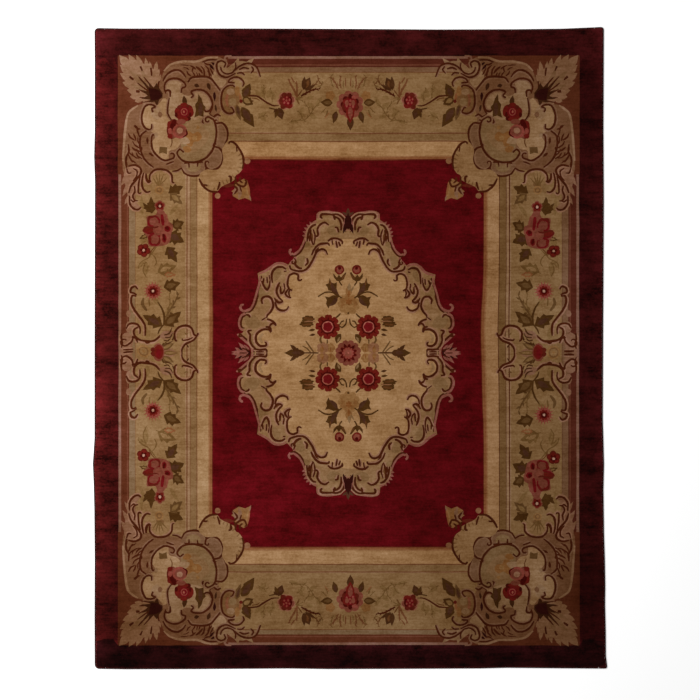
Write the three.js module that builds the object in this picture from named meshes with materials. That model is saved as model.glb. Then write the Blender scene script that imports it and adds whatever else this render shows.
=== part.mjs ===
// A hand-knotted wool carpet of room size, lying flat, pile upward.
//
// The knotted cloth is one flat slab: the woven foundation with its cut pile on top.
// Round its edge runs an overcast cord, the warps and ends bound over with yarn. It is
// wound in four stretches: one along each long side, carried round both corners, and one
// along each end. Nothing on a carpet moves, so there are no joints.
//
// Millimetres. The origin is on the floor under the middle of the carpet, +Y runs along
// its length towards the end where the pattern is upright, and +Z is up.

import * as THREE from "three";

// Sizes of the finished carpet.
const WIDTH = 2440;
const LENGTH = 3070;
const PILE_TOP = 12; // foundation and pile together

// The overcast cord round the edge.
const CORD_DIAMETER = 7;
const CORD_SIDES = 12;
const CORD_GAP = 0.5; // between the cord and the knotted edge
const STRETCH_GAP = 0.4; // between the ends of two stretches of cord
const CORNER_RUN = 30; // how far the side cords run on past a corner, along the end

// The knotted edge rolls over a little, as cut pile does at a border.
const EDGE_ROLL = 2.5;
const EDGE_ROLL_STEPS = 3;
const ARC_STEPS = 5;

// Hand weaving is never quite straight. Each table gives how far the edge stands out from
// a true rectangle, in mm, at a share of the way along it: from the foot of the carpet to
// its head on the sides, and from left to right on the ends.
const LEFT_SIDE = [
  { along: 0.0, out: 0 },
  { along: 0.08, out: 1 },
  { along: 0.17, out: 0 },
  { along: 0.25, out: 2 },
  { along: 0.29, out: 5 },
  { along: 0.32, out: 9 },
  { along: 0.36, out: 1 },
  { along: 0.5, out: 1 },
  { along: 0.66, out: 0 },
  { along: 0.76, out: -1 },
  { along: 0.8, out: 3 },
  { along: 0.84, out: 0 },
  { along: 0.94, out: 0 },
  { along: 1.0, out: 1 },
];
const RIGHT_SIDE = [
  { along: 0.0, out: 18 },
  { along: 0.02, out: 12 },
  { along: 0.06, out: 11 },
  { along: 0.1, out: 8 },
  { along: 0.13, out: 9 },
  { along: 0.17, out: 7 },
  { along: 0.21, out: 3 },
  { along: 0.28, out: 0 },
  { along: 0.32, out: 3 },
  { along: 0.39, out: -3 },
  { along: 0.55, out: -1 },
  { along: 0.73, out: 2 },
  { along: 0.84, out: 0 },
  { along: 1.0, out: 2 },
];
const FOOT_END = [
  { along: 0.0, out: 0 },
  { along: 0.06, out: 2 },
  { along: 0.2, out: 1 },
  { along: 0.38, out: -2 },
  { along: 0.46, out: 1 },
  { along: 0.6, out: 0 },
  { along: 0.76, out: -2 },
  { along: 0.81, out: -5 },
  { along: 0.9, out: -3 },
  { along: 1.0, out: -1 },
];
const HEAD_END = [
  { along: 0.0, out: 3 },
  { along: 0.06, out: 1 },
  { along: 0.3, out: 1 },
  { along: 0.5, out: -1 },
  { along: 0.67, out: -4 },
  { along: 0.82, out: -3 },
  { along: 0.92, out: 0 },
  { along: 1.0, out: 8 },
];

// The corners, anticlockwise from the foot's left one. The foot's right one is drawn out.
const CORNERS = [
  { x: -1, y: -1, radius: 22 },
  { x: 1, y: -1, radius: 11 },
  { x: 1, y: 1, radius: 15 },
  { x: -1, y: 1, radius: 19 },
];

const outAtEnd = (table, sign) => table[sign < 0 ? 0 : table.length - 1].out;

// The arc round a corner, anticlockwise, with the edge drawn in by an inset.
function cornerArc(corner, inset) {
  const side = corner.x < 0 ? LEFT_SIDE : RIGHT_SIDE;
  const end = corner.y < 0 ? FOOT_END : HEAD_END;
  const tipX = WIDTH / 2 + outAtEnd(side, corner.y) - corner.radius;
  const tipY = LENGTH / 2 + outAtEnd(end, corner.x) - corner.radius;
  const radius = corner.radius - inset;
  const first = Math.atan2(corner.y, corner.x) - Math.PI / 4;
  const points = [];
  for (let i = 0; i <= ARC_STEPS; i += 1) {
    const angle = first + ((Math.PI / 2) * i) / ARC_STEPS;
    points.push(
      new THREE.Vector2(
        corner.x * tipX + radius * Math.cos(angle),
        corner.y * tipY + radius * Math.sin(angle),
      ),
    );
  }
  return points;
}

// The stations of a table between its two corners, in the order the table gives them.
const between = (table) => table.slice(1, -1);

const sidePoints = (table, sign, inset) =>
  between(table).map(
    ({ along, out }) =>
      new THREE.Vector2(
        sign * (WIDTH / 2 + out - inset),
        (along - 0.5) * LENGTH,
      ),
  );

const endPoints = (table, sign, inset) =>
  between(table).map(
    ({ along, out }) =>
      new THREE.Vector2(
        (along - 0.5) * WIDTH,
        sign * (LENGTH / 2 + out - inset),
      ),
  );

// The whole edge, anticlockwise from the foot's left corner, drawn in by an inset.
function edgeLoop(inset) {
  return [
    ...cornerArc(CORNERS[0], inset),
    ...endPoints(FOOT_END, -1, inset),
    ...cornerArc(CORNERS[1], inset),
    ...sidePoints(RIGHT_SIDE, 1, inset),
    ...cornerArc(CORNERS[2], inset),
    ...endPoints(HEAD_END, 1, inset).reverse(),
    ...cornerArc(CORNERS[3], inset),
    ...sidePoints(LEFT_SIDE, -1, inset).reverse(),
  ];
}

// The knotted cloth.
function knottedSlab() {
  const inset = CORD_DIAMETER + CORD_GAP;
  const shape = new THREE.Shape(edgeLoop(inset));
  const geometry = new THREE.ExtrudeGeometry(shape, {
    depth: PILE_TOP - 2 * EDGE_ROLL,
    bevelEnabled: true,
    bevelThickness: EDGE_ROLL,
    bevelSize: EDGE_ROLL,
    bevelOffset: -EDGE_ROLL,
    bevelSegments: EDGE_ROLL_STEPS,
  });
  geometry.translate(0, 0, EDGE_ROLL);
  return geometry;
}

// The cord's section, with a flat below so that it lies on the floor.
function cordSection() {
  const shape = new THREE.Shape();
  const flat = CORD_DIAMETER / 2;
  const outer = flat / Math.cos(Math.PI / CORD_SIDES);
  for (let i = 0; i < CORD_SIDES; i += 1) {
    const angle = ((i + 0.5) * 2 * Math.PI) / CORD_SIDES;
    const point = [outer * Math.cos(angle), outer * Math.sin(angle)];
    if (i === 0) shape.moveTo(...point);
    else shape.lineTo(...point);
  }
  shape.closePath();
  return shape;
}

// A stretch of cord whose middle line runs through the given points on the plan.
function cordStretch(points) {
  const middle = points.map(
    (point) => new THREE.Vector3(point.x, point.y, CORD_DIAMETER / 2),
  );
  const path = new THREE.CatmullRomCurve3(middle, false, "centripetal");
  // A step at each point, so that corners get short steps and straight runs long ones.
  path.getPointAt = path.getPoint;
  path.getTangentAt = path.getTangent;
  return new THREE.ExtrudeGeometry(cordSection(), {
    steps: middle.length - 1,
    extrudePath: path,
    bevelEnabled: false,
  });
}

// The point on an end's cord line where a side cord stops, past a corner.
function pastCorner(corner, run) {
  const arc = cornerArc(corner, CORD_DIAMETER / 2);
  const nearest = corner.x * corner.y > 0 ? arc[arc.length - 1] : arc[0];
  return new THREE.Vector2(nearest.x - corner.x * run, nearest.y);
}

function sideCord(table, sign, foot, head) {
  const inset = CORD_DIAMETER / 2;
  const footArc = cornerArc(foot, inset);
  const headArc = cornerArc(head, inset);
  const clockwise = sign < 0;
  return cordStretch([
    pastCorner(foot, CORNER_RUN),
    ...(clockwise ? footArc.reverse() : footArc),
    ...sidePoints(table, sign, inset),
    ...(clockwise ? headArc.reverse() : headArc),
    pastCorner(head, CORNER_RUN),
  ]);
}

function endCord(table, sign, left, right) {
  const run = CORNER_RUN + STRETCH_GAP;
  return cordStretch([
    pastCorner(left, run),
    ...endPoints(table, sign, CORD_DIAMETER / 2),
    pastCorner(right, run),
  ]);
}

const pileWool = new THREE.MeshStandardMaterial({
  color: 0x57080e,
  roughness: 0.95,
  metalness: 0,
});
const overcastWool = new THREE.MeshStandardMaterial({
  color: 0x2a0808,
  roughness: 0.9,
  metalness: 0,
});

const carpet = new THREE.Group();

function addPiece(name, geometry, material) {
  const mesh = new THREE.Mesh(geometry, material);
  mesh.name = name;
  carpet.add(mesh);
}

const [footLeft, footRight, headRight, headLeft] = CORNERS;
addPiece("knotted_cloth", knottedSlab(), pileWool);
addPiece(
  "side_cord_left",
  sideCord(LEFT_SIDE, -1, footLeft, headLeft),
  overcastWool,
);
addPiece(
  "side_cord_right",
  sideCord(RIGHT_SIDE, 1, footRight, headRight),
  overcastWool,
);
addPiece(
  "end_cord_foot",
  endCord(FOOT_END, -1, footLeft, footRight),
  overcastWool,
);
addPiece(
  "end_cord_head",
  endCord(HEAD_END, 1, headLeft, headRight),
  overcastWool,
);

// The uneven edges move the middle of the outline, so the whole is set back over the origin.
const outline = new THREE.Box3().setFromObject(carpet);
const middle = outline.getCenter(new THREE.Vector3());
carpet.position.set(-middle.x, -middle.y, 0);

export default carpet;
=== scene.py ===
# %% [markdown]
# # A hand-knotted carpet in the French garden taste
#
# The real carpet is wool pile, tied knot by knot on a cotton foundation and clipped level,
# with its edge bound over in dark yarn. It lies flat, so its shape is simple, and nearly
# everything the eye enjoys is in the pattern and the wool. This lesson draws that pattern as
# a weaver's cartoon in centimetres, cuts the pile's surface along every line of it, dyes each
# facet, and then gives the wool its nap, its streaks and its sheen.
#
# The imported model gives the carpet's true size and its uneven edge. It is loaded first, and
# every piece is made to lie exactly where its solid lies.

import math

import bpy
import numpy as np
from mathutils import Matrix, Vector, noise
from mathutils.geometry import delaunay_2d_cdt


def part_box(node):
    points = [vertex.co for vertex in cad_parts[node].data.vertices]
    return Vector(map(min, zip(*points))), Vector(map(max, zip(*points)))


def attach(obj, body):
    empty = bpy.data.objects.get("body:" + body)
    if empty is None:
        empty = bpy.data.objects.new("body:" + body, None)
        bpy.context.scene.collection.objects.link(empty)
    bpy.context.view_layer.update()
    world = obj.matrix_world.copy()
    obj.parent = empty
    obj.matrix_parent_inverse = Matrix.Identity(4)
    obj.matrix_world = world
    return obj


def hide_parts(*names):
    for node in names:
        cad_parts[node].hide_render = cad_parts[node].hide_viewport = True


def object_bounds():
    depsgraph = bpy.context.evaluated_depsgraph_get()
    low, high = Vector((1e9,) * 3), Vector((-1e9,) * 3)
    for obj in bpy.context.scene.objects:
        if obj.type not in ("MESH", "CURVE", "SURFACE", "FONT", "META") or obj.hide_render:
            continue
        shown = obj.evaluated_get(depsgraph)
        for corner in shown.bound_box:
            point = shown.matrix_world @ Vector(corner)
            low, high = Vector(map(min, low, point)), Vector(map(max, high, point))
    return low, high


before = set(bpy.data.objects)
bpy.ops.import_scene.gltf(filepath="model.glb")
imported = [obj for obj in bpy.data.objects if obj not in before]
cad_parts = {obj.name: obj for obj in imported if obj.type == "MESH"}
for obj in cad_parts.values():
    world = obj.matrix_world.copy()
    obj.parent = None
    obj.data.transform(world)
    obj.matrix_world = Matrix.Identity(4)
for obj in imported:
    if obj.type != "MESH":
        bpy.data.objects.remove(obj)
cad_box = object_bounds()
cad_size = [round(1000 * (high - low)) for low, high in zip(*cad_box)]
print("the carpet is", cad_size, "mm")

# %% [markdown]
# ## The knotted edge
#
# A hand-woven edge is never straight. The solid of the knotted cloth already has the bulges
# and the drawn-out corner of the real one, so its outline is read from there instead of being
# written down twice. The walls of the solid are upright, and the edges of its facets that lie
# along their foot, joined end to end, are the outline.

# %% Walk round the knotted cloth's outline
CM = 0.01
EDGE_ROLL = 0.0025
PILE_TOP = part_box("knotted_cloth")[1].z


def outline_of(node):
    """The outline of a flat solid at the foot of its walls, anticlockwise, in metres."""
    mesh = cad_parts[node].data
    steps = {}
    for polygon in mesh.polygons:
        if abs(polygon.normal.z) > 0.05:
            continue
        places = [mesh.vertices[i].co for i in polygon.vertices]
        for here, there in zip(places, places[1:] + places[:1]):
            if max(abs(here.z - EDGE_ROLL), abs(there.z - EDGE_ROLL)) < 1e-5:
                steps[round(here.x, 5), round(here.y, 5)] = (
                    round(there.x, 5),
                    round(there.y, 5),
                )
    place = next(iter(steps))
    walk = []
    while place not in walk:
        walk.append(place)
        place = steps[place]
    return np.array(walk)


cloth_edge = outline_of("knotted_cloth")
print("the knotted edge has", len(cloth_edge), "stations")

# %% [markdown]
# ## The yarns
#
# A carpet like this has some thirty shades, most of them one of five colours dyed lighter or
# darker. Naming them the way a dyer's shade card does keeps the drawing readable. Screen
# colours are not the amounts of light that a renderer adds up, so each one is changed to
# those first.

# %% The shade card
SHADE_CARD = {
    "crimson": "#56060a",
    "maroon": "#4a110f",
    # the surround's head, foot and right shades are darker than its left: painted shade of the pile's sheen
    "maroon head": "#3c0d0c",
    "maroon foot": "#250707",
    "maroon right": "#390b0a",
    "cream": "#a37a50",
    "rust": "#5c2c18",
    "tan line": "#815946",
    "rust deep": "#532315",
    "thin deep": "#542711",
    "light rust": "#6f3e2a",
    "grey olive": "#7c5e40",
    "olive brown": "#765237",
    "thin brown": "#6e4024",
    "camel": "#88653f",
    "rose camel": "#94704f",
    "olive": "#82603c",
    "olive deep": "#74522e",
    "guard cream": "#a07a52",
    "guard pale": "#a47a50",
    "guard deep": "#9f754d",
    "guard edge": "#92643f",
    "ochre brown": "#84502e",
    "field edge": "#5c2012",
    "outline": "#471b07",
    "rim rose": "#885043",
    "scroll rose": "#94694f",
    "scroll camel": "#8c6743",
    "scroll dark": "#7f5d3a",
    "scroll light": "#916d49",
    "rose red": "#66180f",
    "rose shadow": "#460904",
    "rose ring": "#9e5645",
    "rose heart": "#670f11",
    "dusty pink": "#753b2b",
    "pink": "#873f32",
    "bud pink": "#7d402f",
    "bud pale": "#8f5d44",
    "flower eye": "#ad846a",
    "leaf olive": "#4a2c0e",
    "leaf light": "#5f4020",
    "leaf brown": "#46260f",
    "mauve brown": "#4b2b1a",
    "ochre": "#84582f",
    "ochre light": "#8c6339",
    "ochre deep": "#7a4820",
    "tan petal": "#85583a",
    "cartouche tan": "#744d32",
    "panel cream": "#98734f",
    "panel light": "#937050",
    "shell olive": "#80603e",
    "shell ochre": "#84562c",
    "shell haze": "#856240",
    "fan tan": "#886145",
    "fan olive": "#7e5a3c",
    "heart maroon": "#350f0a",
    "lobe": "#755137",
    "rim tan": "#8f6a4e",
    "acanthus cream": "#906a44",
    "bell tan": "#845a34",
    "blossom tan": "#76512f",
    "blossom rose": "#7e4a30",
    "frond tan": "#8a6748",
    "blossom pale": "#8a6640",
    "ghost": "#7c5b34",
    "fan rust": "#6c3f22",
    "ghost edge": "#6a4a25",
    "volute rose": "#845b42",
    "rose rim": "#591a0e",
    "stem brown": "#61391a",
    "corner glow": "#815b42",
    "lobe glow": "#805b40",
    "dusk brown": "#3c1d0a",
}


def dye(shade):
    """A shade's red, green and blue as amounts of light."""
    code = SHADE_CARD[shade].lstrip("#")
    parts = [int(code[i : i + 2], 16) / 255 for i in (0, 2, 4)]
    return [p / 12.92 if p <= 0.04045 else ((p + 0.055) / 1.055) ** 2.4 for p in parts]


print(len(SHADE_CARD), "shades on the card")

# %% [markdown]
# ## The cartoon
#
# A weaver works from a cartoon, a drawing of one quarter that is turned over for the other
# three. Here a drawing is a list of layers: a shade and the closed line that it fills, in
# centimetres from the middle of the carpet, across and along. Later layers lie over earlier
# ones. `place` puts a drawing in all four quarters, or at both ends, both sides or once.

# %% Keep the layers of the drawing
COPIES = {
    "quarters": [(1, 1), (-1, 1), (1, -1), (-1, -1)],
    "ends": [(1, 1), (1, -1)],
    "sides": [(1, 1), (-1, 1)],
    "once": [(1, 1)],
}
cartoon = []


def place(drawing, copies="quarters"):
    for shade, line in drawing:
        for across, along in COPIES[copies]:
            cartoon.append((shade, np.asarray(line, float) * (across, along)))


# %% [markdown]
# ## Curves
#
# Everything on the carpet is drawn with a few kinds of line: a flowing line through a few
# places, a curl that winds up on itself, and a stroke that thickens and thins as a brush
# does. A flowing line could be a curve with handles at its points, but one that simply
# passes through its places is easier to set down from a drawing and to correct.

# %% Draw a flowing line
FLOW_STEPS = 10


def flowing(*places, closed=False):
    """A smooth line through the places given."""
    knots = np.array(places, float)
    if closed:
        knots = np.vstack([knots[-1:], knots, knots[:2]])
    else:
        before = 2 * knots[:1] - knots[1:2]
        after = 2 * knots[-1:] - knots[-2:-1]
        knots = np.vstack([before, knots, after])
    t = np.linspace(0, 1, FLOW_STEPS, endpoint=False)[:, None]
    line = []
    for a, b, c, d in zip(knots, knots[1:], knots[2:], knots[3:]):
        ab, bc, cd = (math.sqrt(math.dist(*pair)) + 1e-9 for pair in ((a, b), (b, c), (c, d)))
        leave = bc * ((b - a) / ab - (c - a) / (ab + bc) + (c - b) / bc)
        arrive = bc * ((c - b) / bc - (d - b) / (bc + cd) + (d - c) / cd)
        line.append(
            (2 * t**3 - 3 * t**2 + 1) * b
            + (t**3 - 2 * t**2 + t) * leave
            + (3 * t**2 - 2 * t**3) * c
            + (t**3 - t**2) * arrive
        )
    return np.vstack(line if closed else line + [knots[-2:-1]])


# %% Wind a line up in a curl
CURL_STEP = 15
CURL_TIGHTENING = 0.55


def curl(start, heading, size, turn):
    """A spiral that leaves a place on a heading, size in cm wide at first, and tightens.
    It turns through so many degrees, to the left where they are positive."""
    steps = max(3, round(abs(turn) / CURL_STEP))
    angle = math.radians(turn) / steps
    place, line = np.array(start, float), []
    for i in range(steps):
        reach = size / 2 * (1 - CURL_TIGHTENING * i / steps) * abs(angle)
        heading += angle / 2
        place = place + reach * np.array([math.cos(heading), math.sin(heading)])
        heading += angle / 2
        line.append(place)
    return np.array(line)


def heading_of(here, there):
    return math.atan2(there[1] - here[1], there[0] - here[0])


def scroll(*places, first=None, last=None):
    """A flowing line with a curl at its first or last place, given as (size, turn)."""
    line = flowing(*places) if len(places) > 1 else np.array(places, float)
    parts = [line]
    if first:
        parts.insert(0, curl(line[0], heading_of(line[1], line[0]), *first)[::-1])
    if last:
        parts.append(curl(line[-1], heading_of(line[-2], line[-1]), *last))
    return np.vstack(parts)


# %% Lay a stroke along a line
def stroke(line, width, start=0.6, end=0.6):
    """The closed line round a stroke, narrower at its start and end by those shares."""
    line = np.asarray(line, float)
    run = np.concatenate([[0], np.cumsum(np.hypot(*np.diff(line, axis=0).T))])
    share = run / run[-1]
    body = np.sin(np.pi * share) ** 0.5
    ends = start + (end - start) * share
    half = width / 2 * (ends + (1 - ends) * body)
    ahead = np.gradient(line, axis=0)
    ahead /= np.hypot(*ahead.T)[:, None] + 1e-9
    left = np.column_stack([-ahead[:, 1], ahead[:, 0]]) * half[:, None]
    return np.vstack([line + left, (line - left)[::-1]])


def beside(line, distance):
    """A line that keeps to the left of another one, or to its right if negative."""
    line = np.asarray(line, float)
    ahead = np.gradient(line, axis=0)
    ahead /= np.hypot(*ahead.T)[:, None] + 1e-9
    return line + distance * np.column_stack([-ahead[:, 1], ahead[:, 0]])


# %% Draw leaves, petals and dots
def disc(middle, radius, sides=14):
    angle = np.linspace(0, 2 * np.pi, sides, endpoint=False)
    return np.array(middle) + radius * np.column_stack([np.cos(angle), np.sin(angle)])


def oval(middle, across, along, turn=0):
    """An ellipse with those half widths, turned by degrees."""
    round_line = disc((0, 0), 1, 16) * (across, along)
    c, s = math.cos(math.radians(turn)), math.sin(math.radians(turn))
    return np.array(middle) + round_line @ np.array([(c, s), (-s, c)])


def petals(middle, radius, count, depth, turn=0, squash=1):
    """The outline of a round flower: so many petals, notched by that share of its radius."""
    angle = np.linspace(0, 2 * np.pi, 10 * count, endpoint=False)
    reach = radius * (1 - depth + depth * np.abs(np.sin(count * angle / 2)) ** 0.7)
    angle = angle + math.radians(turn)
    return np.array(middle) + np.column_stack(
        [reach * np.cos(angle), squash * reach * np.sin(angle)]
    )


def leaf(base, tip, width, bend=0, lobes=0, bite=0.35, swell=0.8):
    """A leaf's outline. It bends to the left by that share of its length, and may be cut
    into lobes on each side, as deep as the bite. A larger swell puts its widest place
    nearer the tip, as in a feather."""
    base, tip = np.array(base, float), np.array(tip, float)
    along = tip - base
    left = np.array([-along[1], along[0]])
    t = np.linspace(0, 1, 9 if not lobes else 8 * lobes + 1)[:, None]
    spine = base + along * t + left * bend * 4 * t * (1 - t)
    half = width / 2 * np.sin(np.pi * t**swell)
    if lobes:
        sweep = (lobes * t) % 1
        half = half * (1 - bite * sweep**2)
        half[-1] = 0
    side = np.column_stack([-np.gradient(spine[:, 1]), np.gradient(spine[:, 0])])
    side /= np.hypot(*side.T)[:, None]
    return np.vstack([spine + side * half, (spine - side * half)[::-1]])


print("a leaf's outline has", len(leaf((0, 0), (5, 0), 2, lobes=3)), "points")

# %% [markdown]
# ## Roses, leaves and buds
#
# The flowers are of a few kinds, and each kind is one small function that gives its layers
# from the ground up: the petals, the shadows between them, a pale ring and a heart. A leaf
# has points along both sides, like a vine's, and may be parted by a pale rib.

# %% Draw a rose
ROSE_SEAT = 0.66


def rose(middle, radius, count, turn):
    """A round rose with so many petals about a ringed heart."""
    layers = [("rose shadow", disc(middle, ROSE_SEAT * radius, 18))]
    for i in range(count):
        angle = math.radians(turn + 360 * i / count)
        seat = np.array(middle) + ROSE_SEAT * radius * np.array([math.cos(angle), math.sin(angle)])
        layers.append(("rose red", petals(seat, 0.37 * radius, 5, 0.2, math.degrees(angle))))
        layers.append(("rose shadow", leaf(middle, seat + (seat - middle) * 0.22, 0.22 * radius)))
    layers.append(("rose shadow", petals(middle, 0.6 * radius, count, 0.15, turn)))
    layers.append(("rose ring", petals(middle, 0.46 * radius, 7, 0.06, turn)))
    layers.append(("rose heart", petals(middle, 0.39 * radius, 5, 0.12, turn)))
    return layers


# %% Draw leaves with points and with a rib
LEAF_SIDE = [
    # share of the way along, and out from the middle, as it goes up one side
    (0.00, 0.03), (0.12, 0.22), (0.30, 0.52), (0.38, 0.32), (0.60, 0.46), (0.66, 0.24), (0.84, 0.15),
    (1.00, 0.00),
]


def vine_leaf(base, tip, width, shade, heart=None):
    """A pointed leaf with two points on each side and, where wanted, a heart of its own."""
    base, tip = np.array(base, float), np.array(tip, float)
    along = tip - base
    left = np.array([-along[1], along[0]]) / math.hypot(*along)
    one_side = [base + along * x + left * (y * width) for x, y in LEAF_SIDE]
    other_side = [base + along * x - left * (y * width) for x, y in LEAF_SIDE]
    layers = [(shade, np.vstack([one_side, other_side[::-1]]))]
    if heart:
        layers.append((heart, leaf(base + 0.14 * along, base + 0.72 * along, 0.4 * width)))
    return layers


def leaves(shade, table):
    """Plain leaves of one shade. The table's rows give where each starts, ends, its width."""
    return [(shade, leaf(start, end, width)) for start, end, width in table]


def shaded_leaves(table):
    """Plain leaves whose rows begin with a shade each."""
    return [(shade, leaf(start, end, width)) for shade, start, end, width in table]


def ovals(table):
    """Ellipses whose rows give shade, middle, half widths across and along, and turn."""
    return [(shade, oval(middle, *reach, turn)) for shade, middle, reach, turn in table]


def patches(table):
    """Smooth closed shapes whose rows give shade and the places round it."""
    return [(shade, flowing(*places, closed=True)) for shade, places in table]


def strokes(shade, table, start=0.6, end=0.6):
    """Brush strokes of one shade. The rows give width and the places gone through."""
    return [(shade, stroke(flowing(*places), width, start, end)) for width, places in table]


def twig(*places, width, shade="leaf olive"):
    return strokes(shade, [(width, places)], 0.8, 0.8)


def barbed(line, width, shade, barbs, size):
    """A stroke with barbs that slant forward on each side in turn."""
    layers = [(shade, stroke(line, width, 0.8, 0.4))]
    ahead = np.gradient(line, axis=0)
    for i in range(barbs):
        at = round((i + 0.5) / barbs * (len(line) - 1))
        way = ahead[at] / math.hypot(*ahead[at])
        side = np.array([-way[1], way[0]]) * (1 if i % 2 else -1)
        tip = line[at] + size * (0.8 * way + 0.6 * side)
        layers.append((shade, leaf(line[at], tip, 0.36 * size)))
    return layers


LINE_WEIGHT = 1.42
GLOW_WIDTH = 1.8


def drawn(scrolls, glow="scroll rose"):
    """The strokes of a table of scrolls, each over a paler one that shows on its left.
    The rows give width, places and, where a scroll winds up at an end, its curls."""
    lines = [(width, scroll(*places, **dict(*curls))) for width, places, *curls in scrolls]
    layers = []
    if glow:
        for width, line in lines:
            layers.append((glow, stroke(beside(line, 0.7 * width), GLOW_WIDTH * width, 0.4, 0.4)))
    for width, line in lines:
        layers.append(("outline", stroke(line, LINE_WEIGHT * width, 0.7, 0.6)))
    return layers
# %% [markdown]
# ## Bands
#
# Round the crimson field run a cream guard stripe, a camel border and a maroon surround,
# parted by narrow lines. Woven one inside the other they are simply rectangles, drawn from
# the largest to the smallest, each over the last.

# %% Draw the bands from the edge inwards
OUTSIDE = (135, 170)
BANDS = [
    # shade, half width across, half length along
    ("maroon", *OUTSIDE),
    ("tan line", 110.5, 141.15),
    ("rust", 109.25, 139.95),
    ("light rust", 106.4, 137.25),
    ("rust", 106.0, 136.75),
    ("grey olive", 105.4, 135.95),
    ("thin brown", 102.5, 133.75),
    ("camel", 102.3, 133.4),
    ("rose camel", 78.2, 105.5),
    ("thin brown", 77.7, 105.3),
    ("rose camel", 77.15, 104.95),
    ("thin brown", 76.0, 104.9),
    ("olive", 75.75, 104.7),
    ("thin brown", 72.75, 101.5),
    ("guard cream", 72.4, 101.0),
    ("guard edge", 67.1, 94.5),
    ("ochre brown", 66.5, 93.9),
    ("field edge", 65.25, 92.95),
    ("crimson", 64.9, 92.4),
]


def rectangle(across, along):
    corners = [(-across, -along), (across, -along), (across, along), (-across, along)]
    return np.array(corners, float)


def lay_band(shade, *halves):
    place([(shade, rectangle(*halves))], "once")


lay_band(*BANDS[0])

# %% [markdown]
# The surround is lightest up the left side, darker at the head and on the right, and darkest
# at the foot: painted sheen and shade of the leaning pile. Some of the narrow bands take
# another shade at the head, at the foot or on the right.

# %% Change the shade round the bands
SURROUND_SHADE_CHANGE = 139
BAND_SHADE_CHANGES = [
    # band, its other shade, and the side of the carpet where that lies
    ("thin brown", "thin deep", (1, 0)),
    ("rust", "rust deep", (0, 1)),
    ("rust", "rust deep", (1, 0)),
    ("guard cream", "guard pale", (0, 1)),
    ("guard cream", "guard pale", (0, -1)),
    ("guard cream", "guard deep", (1, 0)),
    ("olive", "olive deep", (1, 0)),
    ("grey olive", "olive brown", (1, 0)),
    ("grey olive", "olive brown", (0, 1)),
]


def mitred(outer, inner, across, along):
    """The part of a band on one side of the carpet, cut off slantwise at its corners."""
    strip = []
    for (x, y), sign in ((outer, -1), (outer, 1), (inner, 1), (inner, -1)):
        strip.append((across * x, sign * y) if across else (sign * x, along * y))
    return np.array(strip)


# The surround's right half and its ends get darker shades: painted shade of the pile's sheen.
half_surround = rectangle(*OUTSIDE) * (0.5, 1) + (OUTSIDE[0] / 2, 0)
place([("maroon right", half_surround)], "once")
end_strip = rectangle(*OUTSIDE)
end_strip[:2, 1] = SURROUND_SHADE_CHANGE
for shade, sign in (("maroon head", 1), ("maroon foot", -1)):
    place([(shade, end_strip * (1, sign))], "once")
for (shade, *outer), (_, *inner) in zip(BANDS[1:], BANDS[2:] + BANDS[-1:]):
    lay_band(shade, *outer)
    for band, other, side in BAND_SHADE_CHANGES:
        if band == shade:
            place([(other, mitred(outer, inner, *side))], "once")
print(len(BANDS), "bands")

# %% [markdown]
# ## The corners' ground
#
# In each corner the frame lines stop in small curls, and a rust ground takes over. On it
# sits a cartouche, a shield of scrolls, tan outside and paler within. It is drawn as the
# weaver sees it: first the large plain shapes, then what lies on them.

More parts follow.
